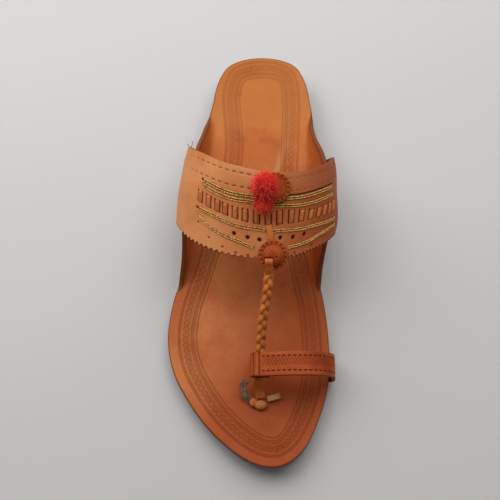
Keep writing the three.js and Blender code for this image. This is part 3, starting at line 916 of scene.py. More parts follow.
def band_run(name, first, last, shift, height):
    """A path over the band along one of its lines, shifted across in mm and sunk into the band
    at both ends, with its normals."""
    u = np.linspace(first, last, int(abs(last - first) / RUN_STEP) + 2)
    v = line_v(name, u) + shift / BAND_WIDTH
    path = band_at(u, v, BAND_WALL + height)
    normal = unit(band_at(u, v, BAND_WALL + height + 1) - path)
    order = np.arange(len(path))
    end = np.minimum(order, order[::-1]) * RUN_STEP
    return path - normal * (END_SINK * (1 - smooth(end / END_SLOPE)))[:, None], normal


# Line, ends along the band, and how far each pair of threads lies beside the line.
CORDS = (
    ("gold_a", -45, 42, (-0.75, 0.55)),
    ("gold_a_low", -46, 42.5, (-0.6, 0.65)),
    ("gold_b", -50, 45.5, (-0.6, 0.6)),
    ("gold_c", -52, -8.6, (-0.55, 0.6)),
    ("gold_c", 9.4, 46, (-0.55, 0.6)),
)


def zari_cords(radius):
    """Gold cords on the band, in pairs beside each other along its lines. Each has two threads,
    which stand off its path by a circle that turns once in every pitch."""
    parts = []
    for name, first, last, shifts in CORDS:
        for shift in shifts:
            path, normal = band_run(name, first, last, shift, radius)
            across = unit(np.cross(unit(np.gradient(path, axis=0)), normal))
            for phase in (0.0, math.pi):
                turn = 2 * math.pi * lengths(path) / TWIST_PITCH + phase
                off = across * np.cos(turn)[:, None] + normal * np.sin(turn)[:, None]
                strand = path + off * radius * TWIST_SPREAD
                parts.append(tubes(strand[None], radius, 6, ups=normal[None]))
    return put_mesh("zari_cords", *joined(parts))


# ---------------------------------------------------------------- the toe strap and the plait

STRAP_CORNERS = np.stack([STRAP["x"], 0 * STRAP["x"], STRAP["z"]], -1)
STRAP_LAST = len(STRAP["x"]) - 1
STRAP_WIDTH = STRAP_FRONT - STRAP_REAR
STRAP_STATIONS = 330
STRAP_ROWS = 46
STRAP_BACK_ROWS = 10
PUNCH_PITCH = 3.1
HATCH_PITCH = 1.9
HATCH_LEAN = 0.55
HATCH_HALF = 2.3
STRAP_SOFT = 0.4
# Shares of the strap's width where its punched rows and the hatch's middle lie.
PUNCHED_AT = (0.2, 0.8)
HATCH_AT = 0.42
# Places along the strap, counted in rows of its table.
PATTERN_FROM, PATTERN_TO = 4.3, 9.75
RIDGES = (10.0, 10.75)
STRAP_SWELL = 0.3


def strap_skin(share, v, height):
    """The toe strap: its middle curve in x and z, v from its rear edge to its front one with the
    skew along it, and height from the middle of its thickness."""
    share, v, height = np.broadcast_arrays(*(np.asarray(a, float) for a in (share, v, height)))
    flat = share.ravel()
    here = spline(STRAP_CORNERS, flat)
    ahead = spline(STRAP_CORNERS, np.clip(flat + STEP, 0, 1))
    along = unit(ahead - spline(STRAP_CORNERS, np.clip(flat - STEP, 0, 1)))
    skew = through(np.arange(STRAP_LAST + 1.0), STRAP["skew"], flat * STRAP_LAST)
    y = STRAP_REAR + STRAP_WIDTH * v.ravel() + skew
    x = here[:, 0] - along[:, 2] * height.ravel()
    z = here[:, 2] + along[:, 0] * height.ravel()
    return np.stack([x, y, z], -1).reshape(share.shape + (3,))


def strap_shares(count):
    """Shares of the strap at even steps of its length, and its length so far."""
    dense = np.linspace(0, 1, 1200)
    length = lengths(spline(STRAP_CORNERS, dense))
    run = np.linspace(0, length[-1], count)
    return np.interp(run, length, dense), run


def strap_relief(run, corner, v):
    """Cuts in the strap's face as (depth in mm, darkness): two rows of punched dashes, a slanting
    hatch between them, and a ridge on both sides of the fold at its inner end. The darkness is
    partly painted shade in the cuts and at the fold and partly the darker pressed leather."""
    mm = v * STRAP_WIDTH
    seen = smooth((corner - PATTERN_FROM) / 0.2) * smooth((PATTERN_TO - corner) / 0.15)
    dashes = pulse(from_cell(run, PUNCH_PITCH), 0, 0.75, STRAP_SOFT)
    rows = np.maximum(*(pulse(mm, part * STRAP_WIDTH, 0.15, STRAP_SOFT) for part in PUNCHED_AT))
    slant = run + (mm - STRAP_WIDTH / 2) * HATCH_LEAN
    hatch = pulse(from_cell(slant, HATCH_PITCH), 0, 0.2, 0.35)
    lines = pulse(mm, HATCH_AT * STRAP_WIDTH, HATCH_HALF, STRAP_SOFT)
    ridges = np.maximum(*(pulse(corner, place, 0.04, 0.12) for place in RIDGES))
    cut = np.maximum(dashes * rows * 0.6, hatch * lines * 0.3) * seen
    dark = np.maximum(dashes * rows, hatch * lines * 0.45) * seen
    return np.maximum(cut, 0.7 * ridges), np.maximum(dark, 0.8 * ridges)


def toe_strap_leather():
    """The toe strap: rings round its thickness along its length, with the relief pressed into its
    outer face, which swells a little at its inner end."""
    share, run = (a[:, None] for a in strap_shares(STRAP_STATIONS))
    half = STRAP_WALL / 2
    v, height, push, face = strap_ring(-half, half, STRAP_ROWS, STRAP_BACK_ROWS, EDGE_POINTS - 1)
    inset = EDGE_BULGE / STRAP_WIDTH
    at_v = inset + v * (1 - 2 * inset) + push * inset
    corner = share * STRAP_LAST
    cut, dark = strap_relief(run, corner, at_v)
    rim = smooth((0.5 - np.abs(at_v - 0.5)) * STRAP_WIDTH / RIM_SOFT)
    swell = STRAP_SWELL * smooth((corner - RIDGES[0]) / 0.4) * face
    points = strap_skin(share, at_v, height - cut * (face * rim) + swell)
    uv = np.stack(np.broadcast_arrays(run, at_v * STRAP_WIDTH), -1)
    marks = {"dark": dark * face, "edge": 0 * dark + 1 - face}
    return put_mesh("toe_strap_leather", points, capped_rings(points), uv, marks)


PLAIT_HALF = 1.7
PLAIT_WEAVE = 0.85
PLAIT_TURNS = 3.2
STRAND_WIDE = 1.45
STRAND_THICK = 1.0
STRAND_ROLL = 0.75


def plait_leather():
    """Three strands about the route: each swings across by the sine of its turn and up by the
    sine of twice its turn, a third of a turn apart, with a squarish flat section."""
    route = even_spline(np.stack([PLAIT["x"], PLAIT["y"], PLAIT["z"]], -1), 200)
    along = unit(np.gradient(route, axis=0))
    across = unit(np.array([1.0, 0, 0]) - along * along[:, :1])
    up = np.cross(across, along)
    share = np.linspace(0, 1, len(route))
    paths, ups = [], []
    for phase in (0, 1 / 3, 2 / 3):
        turn = 2 * math.pi * (share * PLAIT_TURNS + phase)
        swing = across * (PLAIT_HALF * np.sin(turn))[:, None]
        paths.append(route + swing + up * (PLAIT_WEAVE * np.sin(2 * turn))[:, None])
        ups.append(unit(up + across * (STRAND_ROLL * np.sin(turn))[:, None]))
    points, faces = tubes(np.stack(paths), STRAND_WIDE, 14, flat=STRAND_THICK / STRAND_WIDE,
                          ups=np.stack(ups), square=0.75)
    return put_mesh("plait_leather", points, faces)


THONG_SIDES = 20
THONG_STEPS = 40


def thong(name, route, across, wide, thick, square=0.45, fold=0.0):
    """A flat thong along a route, as a squarish tube whose width lies across; fold presses a
    groove along its middle."""
    path = even_spline(route, THONG_STEPS)
    side = unit(np.asarray(across, float))
    along = unit(np.gradient(path, axis=0))
    up = unit(np.cross(side, along))
    points, faces = tubes(path[None], wide / 2, THONG_SIDES, flat=thick / wide, ups=up[None],
                          square=square)
    if fold:
        rings = points.reshape(-1, THONG_SIDES, 3)[1:-1]
        angle = np.linspace(0, 2 * math.pi, THONG_SIDES, endpoint=False)
        press = fold * np.abs(np.sin(angle)) ** 8
        rings -= (np.sign(np.sin(angle)) * press)[None, :, None] * up[:, None]
    return put_mesh(name, points, faces)


KNOT_FLOOR = float(insole_base(200.0)) + INSOLE_WALL + GAP
TAIL_ROUTE = [
    [4.4, 186.6, 20.6], [3.4, 189.4, 16.8], [2.2, 192.4, 12.6], [1.7, 195.6, KNOT_FLOOR + 1],
]
CURL_ROUTE = [
    [10.2, 186.4, 17.4], [12.2, 190.0, 15.2], [11.0, 194.4, 12.8], [8.0, 197.4, KNOT_FLOOR + 1],
]
END_ROUTE = [
    [-2.2, 196.4, KNOT_FLOOR + 1.1], [-6, 195.4, KNOT_FLOOR + 1.4],
    [-9.8, 194.4, KNOT_FLOOR + 1.8],
]
KNOT_AT = np.array([1.8, 200.0, KNOT_FLOOR + 1.7])
# Centre from the knot's own, half sizes, and the lean of the ridges.
KNOT_LOBES = (
    ((0.0, 0.0, 0.0), (4.0, 2.9, 1.7), 0.0),
    ((4.2, -1.6, 0.2), (2.7, 2.6, 1.5), 1.9),
)


def ball(rows, columns):
    """Directions on a sphere in rows from pole to pole, their two angles, and the quads."""
    polar = np.linspace(0, math.pi, rows)[:, None]
    around = np.linspace(0, 2 * math.pi, columns, endpoint=False)[None]
    direction = np.stack([np.sin(polar) * np.cos(around), np.sin(polar) * np.sin(around),
                          np.cos(polar) + 0 * around], -1)
    return direction, polar, around, grid_quads(rows, columns)


def thong_knot():
    """The knot: two lobes, each an ellipsoid ringed by soft ridges that lean round it."""
    direction, polar, around, faces = ball(30, 48)
    parts = []
    for at, size, lean in KNOT_LOBES:
        wrap = np.abs(np.sin(1.5 * polar + 0.8 * np.sin(around + lean) + 0.4)) ** 0.7
        swell = 0.86 + 0.14 * wrap
        points = KNOT_AT + np.array(at) + direction * swell[..., None] * np.array(size)
        parts.append((points.reshape(-1, 3), faces))
    return put_mesh("knot_leather", *joined(parts))


# ---------------------------------------------------------------- trimmings on the band

ROSETTE_WALL = 1.4
OVER_ROSETTE = BAND_WALL + ROSETTE_WALL + 2 * GAP
# Share, side and v of places on the band.
FRONT_SPOT = (0.0, 1.0, 0.93)
REAR_SPOT = (0.05, -1.0, 0.18)
POMPOM_SPOT = (0.0, 1.0, 0.19)


def on_band(spot, height):
    """A place over the band at a spot's share, side and v, and its x, y and up directions."""
    share, side, v = (np.array(a) for a in spot)
    place = band_skin(share, side, v, height)
    up = last_normal(band_y(share, side, v), side, band_k(share))
    right = unit(np.array([1.0, 0, 0]) - up * up[0])
    return place, right, np.cross(up, right), up


def laid(spot, height, x, y, z):
    """Points at x, y and z from a place over the band, along its own directions."""
    place, right, ahead, up = on_band(spot, height)
    return place + x[..., None] * right + y[..., None] * ahead + z[..., None] * up


# Shares of a disc's radius where its rim begins, its holes and its ring lie, and its scallops dip.
DISC_RIM = 0.97
HOLES_AT = 0.84
RING_AT = 0.7
SCALLOP_DIP = 0.1
DISC_BOW = 0.006
HOLE_DEPTH = 0.6
RING_DEPTH = 0.25


def rosette(name, spot, radius, scallops):
    """A leather disc: its radius dips between scallops, its face has a punched hole in each
    scallop and a pressed ring, and it bends down a little to both sides."""
    turn = np.linspace(0, 2 * math.pi, scallops * 12, endpoint=False)
    lobe = np.abs(np.cos(turn * scallops / 2))
    rim = radius * (1 - SCALLOP_DIP + SCALLOP_DIP * np.sqrt(lobe))
    inner = np.linspace(0, DISC_RIM, 30)
    half = ROSETTE_WALL / 2
    angle = np.linspace(0, math.pi, 6)[1:-1]
    edge = DISC_RIM + (1 - DISC_RIM) * np.abs(np.sin(angle))
    shares = np.concatenate([inner, edge, [DISC_RIM, 0.5, 0.0]])[:, None]
    heights = np.concatenate([0 * inner + half, half * np.cos(angle), [-half, -half, -half]])
    x = rim[None] * shares * np.cos(turn)[None]
    y = rim[None] * shares * np.sin(turn)[None]
    cell = 2 * math.pi / scallops
    off = (turn / cell + 0.5) % 1 - 0.5
    hole = np.hypot(off[None] * cell * radius * 0.82, (shares - HOLES_AT) * radius)
    dark = pulse(hole, 0, 0.28, 0.3)
    ring = pulse(shares * radius, RING_AT * radius, 0.15, 0.35) + 0 * dark
    face = (np.arange(len(shares)) < len(inner)).astype(float)[:, None]
    cut = np.maximum(dark * HOLE_DEPTH, ring * RING_DEPTH) * face
    z = heights[:, None] + half - cut - DISC_BOW * x**2
    points = laid(spot, BAND_WALL + GAP, x, y, z)
    # The dark marks are painted shade in the punched holes and the ring, along with the darker
    # pressed leather of the ring.
    marks = {"dark": np.maximum(dark, 0.6 * ring) * face, "edge": 0 * dark + 1 - face}
    return put_mesh(name, points, grid_quads(len(shares), len(turn)), marks=marks)


# Radius and height down the button's dome and back under it.
BUTTON_PROFILE = [
    [0, 3.2], [1.8, 3.12], [3.1, 2.9], [4.3, 2.5], [5.2, 2.0], [5.75, 1.4], [6.0, 0.8],
    [5.95, 0.3], [5.7, 0.0], [0, 0],
]
BUTTON_ROWS = 46
BUTTON_SIDES = 96
SLOT_X, SLOT_Y = 2.4, 1.5
EYE_X, EYE_Y = -1.7, 1.0
BUTTON_RING = 4.9
SLOT_DEPTH = 0.9
GROOVE_DEPTH = 0.2
DOME_FROM = 1.2


def slotted_button():
    """The button: a dome turned from a profile, with a slot cut across it in front of its middle,
    a small eye and a shallow ring round it."""
    profile = np.array(BUTTON_PROFILE)
    share = np.linspace(0, 1, BUTTON_ROWS)
    at = np.linspace(0, 1, len(profile))
    reach, tall = (np.interp(share, at, profile[:, i])[:, None] for i in range(2))
    turn = np.linspace(0, 2 * math.pi, BUTTON_SIDES, endpoint=False)[None]
    x = reach * np.cos(turn)
    y = reach * np.sin(turn)
    slot = pulse(y, SLOT_Y, 0.3, 0.35) * pulse(x, SLOT_X, 2.2, 0.5)
    eye = pulse(np.hypot(x - EYE_X, y - EYE_Y), 0, 0.3, 0.4)
    slot = np.maximum(slot, 0.8 * eye)
    ring = pulse(np.hypot(x, y), BUTTON_RING, 0.1, 0.35)
    face = (tall > DOME_FROM).astype(float)
    z = tall - np.maximum(slot * SLOT_DEPTH, ring * GROOVE_DEPTH) * face
    # The dark marks are painted shade in the slot, the eye and the groove of the ring.
    marks = {"dark": np.maximum(slot, 0.4 * ring) * face, "edge": 0 * x}
    return put_mesh("slotted_button", laid(FRONT_SPOT, OVER_ROSETTE, x, y, z),
                    grid_quads(BUTTON_ROWS, BUTTON_SIDES), marks=marks)


# Places of the plait's root from the button's foot, to its right, ahead and up.
ROOT_ROUTE = ((2.4, 1.9, 2.2), (2.4, 3.8, 3.1), (2.2, 6.2, 1.7), (1.9, 8.6, 0.6))
# And from the plait's own start, in x, y and z.
ROOT_END = ((0, 0.4, 0.9), (0.2, 2.6, -1.2))


def plait_root():
    """The flat thong from the button's slot over its front to the plait."""
    place, right, ahead, up = on_band(FRONT_SPOT, OVER_ROSETTE)
    start = np.array([PLAIT["x"][0], PLAIT["y"][0], PLAIT["z"][0]])
    route = [place + right * x + ahead * y + up * z for x, y, z in ROOT_ROUTE]
    route += [start + np.array(step) for step in ROOT_END]
    return thong("plait_root", route, right, 4.4, 1.5, fold=0.25)


def centre_thong():
    """The bright thong down the crown, from the woven row to the front rosette."""
    v = np.linspace(0.6, 0.79, 6)
    route = band_at(1.4 - 4 * (v - 0.6), v, BAND_WALL + 0.55)
    route[0] = band_at(1.5, 0.595, BAND_WALL - 0.2)
    return thong("centre_thong", route, [1, 0, 0], 3.4, 1.3, fold=0.2)


# Centre and half sizes of the pompom's two balls, and their portions of the strands.
WOOL_BALLS = (
    ((2.2, -1.2, 7.0), (7.8, 8.6, 7.2), 0.72),
    ((3.0, 8.4, 5.4), (5.8, 6.4, 5.0), 0.28),
)
CORE_SHARE = 0.72
WOOL_STEPS = 6
WOOL_LOWEST = 0.25
WOOL_BEND = 0.34
WOOL_REACH = (0.82, 1.04)
WOOL_CURL = 0.05
WOOL_TAPER = (0.3, 0.1)


def pompom_wool(strands, seed):
    """The pompom: two dark cores, and strands of wool that leave them at random directions, bend
    sideways on the way out and end near one of two ellipsoids."""
    rng = np.random.default_rng(seed)
    place, right, ahead, up = on_band(POMPOM_SPOT, OVER_ROSETTE)
    axes = np.stack([right, ahead, up])
    direction, _, _, faces = ball(14, 20)
    parts = []
    for centre, size, portion in WOOL_BALLS:
        centre, size = np.array(centre), np.array(size)
        core = place + (centre + direction.reshape(-1, 3) * size * CORE_SHARE) @ axes
        parts.append((core, faces))
        count = int(strands * portion)
        out = unit(rng.normal(size=(count, 3)))
        bend = rng.normal(size=(count, 3)) * WOOL_BEND
        along = np.linspace(0.5, 1, WOOL_STEPS)[None, :, None]
        length = rng.uniform(*WOOL_REACH, (count, 1, 1))
        curl = np.sin(along * 9 + rng.uniform(0, 6, (count, 1, 1))) * WOOL_CURL
        path = out[:, None] * along * length + bend[:, None] * (along - 0.5) ** 2 * 1.6
        path = path + curl * unit(rng.normal(size=(count, 1, 3)))
        path = centre + path * size
        path[..., 2] = np.maximum(path[..., 2], WOOL_LOWEST)
        path = place + path @ axes
        taper = np.linspace(*WOOL_TAPER, WOOL_STEPS)[None] * rng.uniform(0.8, 1.2, (count, 1))
        parts.append(tubes(path, taper, 3))
    return put_mesh("pompom_wool", *joined(parts))


STITCHES = 9
STITCH = 3.2
STITCHES_FROM_V, STITCHES_TO_V = 0.07, 0.86
STITCH_RADIUS = 0.42
SEAM_FROM_END = 4.5
SEAM_WIDTH = 45
LOOSE_FROM_END = 9
LOOSE_RADIUS = 0.22
# How far each loose end reaches in x, y and z, and its wave.
LOOSE_ENDS = (((1.8, -3.2, 1.6), 0.5), ((2.8, -5.4, 0.4), -0.6), ((0.4, -6.6, 2.6), 0.8))


def stitch_threads():
    """Thread: a row of stitches across both ends of the band, each an arch over its face, and
    loose ends at the outer rear corner."""
    outer_end, inner_end = BAND_ARCS[1.0][-1], BAND_ARCS[-1.0][-1]
    parts = []
    for end in (outer_end - SEAM_FROM_END, -(inner_end - SEAM_FROM_END)):
        starts = np.linspace(STITCHES_FROM_V, STITCHES_TO_V, STITCHES)[:, None]
        t = np.linspace(0, 1, 7)[None]
        v = starts + t * STITCH / SEAM_WIDTH
        arch = 0.05 + 0.5 * np.sin(math.pi * t) ** 0.5 - 0.5 * (t < 0.01) - 0.5 * (t > 0.99)
        path = band_at(end + 0 * v, v, BAND_WALL + arch)
        parts.append(tubes(path, STITCH_RADIUS, 6))
    root = band_at(outer_end - LOOSE_FROM_END, 0.0, 0.6)
    t = np.linspace(0, 1, 14)[:, None]
    for reach, wave in LOOSE_ENDS:
        path = root + np.array(reach) * t + np.array([wave, 0.4, wave]) * np.sin(t * 5) * 0.6
        parts.append(tubes(path[None], LOOSE_RADIUS, 5))
    return put_mesh("stitch_threads", *joined(parts))


# ---------------------------------------------------------------- finishes

def add(tree, kind, inputs=None, **settings):
    """A node of a kind, with its settings, and its inputs as values or as other nodes' sockets."""
    made = tree.nodes.new(kind)
    for key, value in settings.items():
        setattr(made, key, value)
    for key, value in (inputs or {}).items():
        if isinstance(value, bpy.types.NodeSocket):
            tree.links.new(value, made.inputs[key])
        else:
            made.inputs[key].default_value = value
    return made


def calc(tree, operation, a, b=0.0, c=0.0):
    """An operation on up to three numbers."""
    return add(tree, "ShaderNodeMath", {0: a, 1: b, 2: c}, operation=operation).outputs[0]


def times(tree, a, b):
    """a times b."""
    return calc(tree, "MULTIPLY", a, b)


def scaled(tree, a, b, c):
    """a times b, plus c."""
    return calc(tree, "MULTIPLY_ADD", a, b, c)


def between(tree, value, low, high):
    """0 at low easing to 1 at high; low may be above high."""
    inputs = {"Value": value, "From Min": low, "From Max": high}
    return add(tree, "ShaderNodeMapRange", inputs, interpolation_type="SMOOTHSTEP").outputs[0]


def mixed(tree, factor, a, b):
    """Colour a, going to colour b as the factor goes from 0 to 1."""
    return add(tree, "ShaderNodeMix", {0: factor, 6: a, 7: b}, data_type="RGBA").outputs[2]


def colour(shade):
    """A property's colour with full alpha."""
    return tuple(shade) + (1.0,)


def tint(tree, tone, mask, strength, shade):
    """A tone that goes to a shade by a mask times a strength."""
    return mixed(tree, times(tree, mask, strength), tone, colour(shade))


def place_of(tree):
    """The place in the sandal's own frame, in metres."""
    return add(tree, "ShaderNodeTexCoord").outputs["Object"]


def parts_of(tree, vector):
    """A vector's x, y and z."""
    return add(tree, "ShaderNodeSeparateXYZ", {0: vector}).outputs


def pattern_of(tree):
    """The two directions of a piece's own pattern, in millimetres."""
    parts = parts_of(tree, add(tree, "ShaderNodeUVMap", uv_map="pattern").outputs["UV"])
    return times(tree, parts[0], UV_MM), times(tree, parts[1], UV_MM)


def mark(tree, name):
    """A mark that a piece's mesh carries."""
    return add(tree, "ShaderNodeAttribute", attribute_name=name).outputs["Fac"]


def noise(tree, scale, detail=3.0, rough=0.5):
    """Clouds from 0 to 1, of a scale per metre."""
    inputs = {"Vector": place_of(tree), "Scale": scale, "Detail": detail, "Roughness": rough}
    return add(tree, "ShaderNodeTexNoise", inputs).outputs["Fac"]


def ramp(tree, value, stops):
    """Straight steps between (place, level) stops."""
    made = add(tree, "ShaderNodeValToRGB", {"Fac": value})
    line = made.color_ramp
    while len(line.elements) > 1:
        line.elements.remove(line.elements[-1])
    line.elements[0].position = stops[0][0]
    line.elements[0].color = (stops[0][1],) * 3 + (1,)
    for place, level in stops[1:]:
        line.elements.new(place).color = (level,) * 3 + (1,)
    return made.outputs["Color"]


def effect(name, inputs, outputs, fill):
    """The node group of a name. At its first use it is made with its sockets, and fill(tree,
    given) makes its nodes and gives the value of each output."""
    tree = bpy.data.node_groups.get(name)
    if tree is None:
        tree = bpy.data.node_groups.new(name, "ShaderNodeTree")
        for way, sockets in (("INPUT", inputs), ("OUTPUT", outputs)):
            for title, kind in sockets.items():
                tree.interface.new_socket(title, in_out=way, socket_type="NodeSocket" + kind)
        given = tree.nodes.new("NodeGroupInput").outputs
        out = tree.nodes.new("NodeGroupOutput")
        for title, value in fill(tree, given).items():
            tree.links.new(value, out.inputs[title])
    return tree


def hide_nodes(tree, given):
    """Hide: its colour drifts from light to deep in clouds and fine mottles, and its grain stands
    as small pebbles between creases."""
    clouds = noise(tree, given["Clouds"], 4.0, 0.6)
    fine = noise(tree, 420.0, 4.0, 0.65)
    tone = mixed(tree, between(tree, clouds, 0.36, 0.66), given["Light"], given["Deep"])
    mottle = times(tree, between(tree, fine, 0.45, 0.75), 0.35)
    inputs = {"Vector": place_of(tree), "Scale": given["Pebbles"]}
    pebble = add(tree, "ShaderNodeTexVoronoi", inputs)
    return {
        "Color": mixed(tree, mottle, tone, given["Deep"]),
        "Height": scaled(tree, pebble.outputs["Distance"], 0.6, fine),
        "Roughness": scaled(tree, clouds, 0.25, 0.46),
    }


def mark_nodes(tree, given):
    """Marks and edges: the colour goes to the mark's shade where a mark is, which is painted shade
    in cuts and hollows along with darker pressed leather, and to the edge's shade on cut edges."""
    marked = mixed(tree, given["Mark"], given["Color"], given["Shade"])
    return {"Color": mixed(tree, given["Edge"], marked, given["Edge shade"])}


def tanned_hide(tree, light, deep, clouds, pebbles):
    """The hide group's outputs, for two shades and two scales per metre."""
    made = effect(
        "tanned_hide",
        {"Light": "Color", "Deep": "Color", "Clouds": "Float", "Pebbles": "Float"},
        {"Color": "Color", "Height": "Float", "Roughness": "Float"}, hide_nodes)
    inputs = {"Light": colour(light), "Deep": colour(deep), "Clouds": clouds, "Pebbles": pebbles}
    return add(tree, "ShaderNodeGroup", inputs, node_tree=made).outputs


def pressed_marks_and_shade(tree, tone, shade, edge_shade):
    """A tone with the mesh's marks and cut edges in their shades; the marks are painted shade in
    cuts and hollows along with darker pressed leather.
    """
    made = effect(
        "pressed_marks_and_shade",
        {"Color": "Color", "Mark": "Float", "Shade": "Color", "Edge": "Float",
         "Edge shade": "Color"},
        {"Color": "Color"}, mark_nodes)
    inputs = {"Color": tone, "Mark": mark(tree, "dark"), "Shade": colour(shade),
              "Edge": mark(tree, "edge"), "Edge shade": colour(edge_shade)}
    return add(tree, "ShaderNodeGroup", inputs, node_tree=made).outputs["Color"]


def new_material(name, roughness=0.5, **settings):
    """A material, its node tree and its shader, whose inputs are set by name."""
    material = bpy.data.materials.new(name)
    material.use_nodes = True
    tree = material.node_tree
    shader = tree.nodes["Principled BSDF"]
    shader.inputs["Roughness"].default_value = roughness
    shader.inputs["Specular IOR Level"].default_value = 0.25
    for key, value in settings.items():
        shader.inputs[key.replace("_", " ")].default_value = value
    return material, tree, shader


def leather(name, light, deep, marked=None, clouds=28.0, pebbles=900.0, grain=0.00012, dress=None):
    """A leather with a grain of so many metres. dress(tree, tone, height) may change its tone and
    relief, and a finish given as marked shades its marks and cut edges."""
    material, tree, shader = new_material(name)
    skin = tanned_hide(tree, light, deep, clouds, pebbles)
    tone, height = skin["Color"], skin["Height"]
    if dress:
        tone, height = dress(tree, tone, height)
    if marked:
        tone = pressed_marks_and_shade(tree, tone, marked.mark_and_hollow_shade, marked.edge_tone)
    bump = add(tree, "ShaderNodeBump", {"Height": height, "Distance": grain, "Strength": 1.0})
    tree.links.new(tone, shader.inputs["Base Color"])
    tree.links.new(skin["Roughness"], shader.inputs["Roughness"])
    tree.links.new(bump.outputs["Normal"], shader.inputs["Normal"])
    return material


def raw_leather(name, light, deep):
    """Raw, fuzzy thong leather."""
    return leather(name, light, deep, clouds=240.0, pebbles=1500.0, grain=0.0002)


def fibre(name, shade, worn, scale, detail=2.0, span=None, **settings):
    """Yarn or thread, in clouds of two shades, sharpened between two levels where given."""
    material, tree, shader = new_material(name, **settings)
    patches = noise(tree, scale, detail)
    if span:
        patches = between(tree, patches, *span)
    tone = mixed(tree, patches, colour(shade), colour(worn))
    tree.links.new(tone, shader.inputs["Base Color"])
    return material


# The stamped border in millimetres from the chain: its lines, and the band between its ends.
LINE_STOPS = (-4.7, -3.7, 3.4, 4.6, 6.6)
LINE_HALF = 0.16
LINE_SOFT = 0.28
BORDER_LOW = -8.0
BORDER_SPAN = 18.0
BORDER_STOPS = ((-5.06, 0), (-4.2, 1), (6.4, 1), (7.4, 0))
# A ring with a dot in it, by shares of RING_REACH from its middle.
RING_REACH = 4.0
RING_STOPS = ((0.0, 0.9), (0.09, 0.8), (0.17, 0.0), (0.29, 0.0), (0.37, 1.0), (0.45, 1.0),
              (0.56, 0.0))


def stamped_border(tree):
    """The insole's stamped border on its own pattern: lines at set distances from the chain, and
    in the chain a ring with a dot in every pitch. Also gives the whole border as a soft band."""
    run, across = pattern_of(tree)
    share = calc(tree, "DIVIDE", calc(tree, "SUBTRACT", across, BORDER_LOW), BORDER_SPAN)
    stroke = ((-LINE_HALF - LINE_SOFT, 0), (-LINE_HALF, 1), (LINE_HALF, 1),
              (LINE_HALF + LINE_SOFT, 0))
    lines = ramp(tree, share, [((line + shift - BORDER_LOW) / BORDER_SPAN, level)
                               for line in LINE_STOPS for shift, level in stroke])
    cell = calc(tree, "SUBTRACT", calc(tree, "FRACT", calc(tree, "DIVIDE", run, CHAIN_PITCH)), 0.5)
    along = times(tree, cell, CHAIN_PITCH)
    far = calc(tree, "SQRT", scaled(tree, across, across, times(tree, along, along)))
    rings = ramp(tree, calc(tree, "DIVIDE", far, RING_REACH), RING_STOPS)
    border = ramp(tree, share, [((place - BORDER_LOW) / BORDER_SPAN, level)
                                for place, level in BORDER_STOPS])
    return calc(tree, "MAXIMUM", lines, rings), border


# The pale rub on the heel, in metres.
RUB_X, RUB_Y = -0.0105, 0.045


def heel_rub(tree, x, y):
    """A slanting streak on the heel, which tapers to its rear end and fades all round."""
    rub_y = calc(tree, "SUBTRACT", y, RUB_Y)
    rub_x = calc(tree, "SUBTRACT", scaled(tree, rub_y, -0.3, x), RUB_X)
    taper = scaled(tree, rub_y, 0.07, 0.0026)
    rub = times(tree, between(tree, calc(tree, "ABSOLUTE", rub_x), 0.0032, 0.0004),
                between(tree, calc(tree, "ABSOLUTE", rub_y), 0.022, 0.012))
    return times(tree, rub, between(tree, taper, 0.0008, 0.0034))


def insole_finish(finish):
    """Insole leather: yellower inside the heel's border, with painted shade that darkens and
    reddens it to the toes, to the inner side and on the lifted ears, the stamped border worn at the
    heel and a pale rub there."""
    def dress(tree, tone, height):
        """Tints the hide one after another, and presses the stamping in."""
        x, y, _ = parts_of(tree, place_of(tree))
        wavy = scaled(tree, noise(tree, 30.0, 3.0, 0.55), 0.05, y)
        slant = scaled(tree, x, -1.6, wavy)
        stamp, border = stamped_border(tree)
        wear = scaled(tree, between(tree, wavy, 0.04, 0.12), 0.45, 0.55)
        stamp = times(tree, stamp, wear)
        clear = scaled(tree, between(tree, x, -0.035, 0.0), 0.24, 0.14)
        grime = between(tree, noise(tree, 55.0, 5.0, 0.62), 0.56, 0.72)
        for mask, strength, shade in (
            (between(tree, wavy, 0.1, 0.02), 0.75, finish.heel_tone),
            # Painted shade: darker and redder towards the toes and the inner side, away from the
            # light.
            (between(tree, slant, 0.11, 0.23), 0.85, finish.insole_painted_shade),
            (border, 0.14, finish.stamp_tone),
            (stamp, clear, finish.stamp_tone),
            # Painted shade on the ears where they lift, whose inner faces turn from the light.
            (between(tree, mark(tree, "lift"), 1.0, 9.0), 0.35, finish.insole_painted_shade),
            (grime, 0.28, finish.stamp_tone),
            (heel_rub(tree, x, y), 0.45, finish.pale_rub),
        ):
            tone = tint(tree, tone, mask, strength, shade)
        return tone, scaled(tree, stamp, -2.4, height)
    return leather("insole_hide", finish.insole_light, finish.insole_deep, finish,
                   clouds=26.0, pebbles=800.0, grain=0.00011, dress=dress)


STROKE_PITCH = 1.7
STROKE_ROWS = ((5.0, 6.0), (11.5, 10.5))


def band_finish(finish):
    """Band leather: pressed marks, fine upright strokes between its two dashed rows, and painted
    shade: a darker, redder tone to the inner side, which lies away from the light."""
    def dress(tree, tone, height):
        """Paints shade on the inner side, darker and redder, and raises the strokes."""
        run, across = pattern_of(tree)
        strokes = calc(tree, "SINE", times(tree, run, 2 * math.pi / STROKE_PITCH))
        row = times(tree, *(between(tree, across, *ends) for ends in STROKE_ROWS))
        drift = scaled(tree, noise(tree, 40.0), 0.02, parts_of(tree, place_of(tree))[0])
        # Painted shade: the band goes darker and redder towards the inner side, away from the
        # light.
        tone = tint(tree, tone, between(tree, drift, 0.02, -0.03), 0.8, finish.band_painted_shade)
        return tone, scaled(tree, times(tree, strokes, row), 0.7, height)
    return leather("band_hide", finish.band_light, finish.band_deep, finish, clouds=24.0,
                   dress=dress)


# ---------------------------------------------------------------- settings

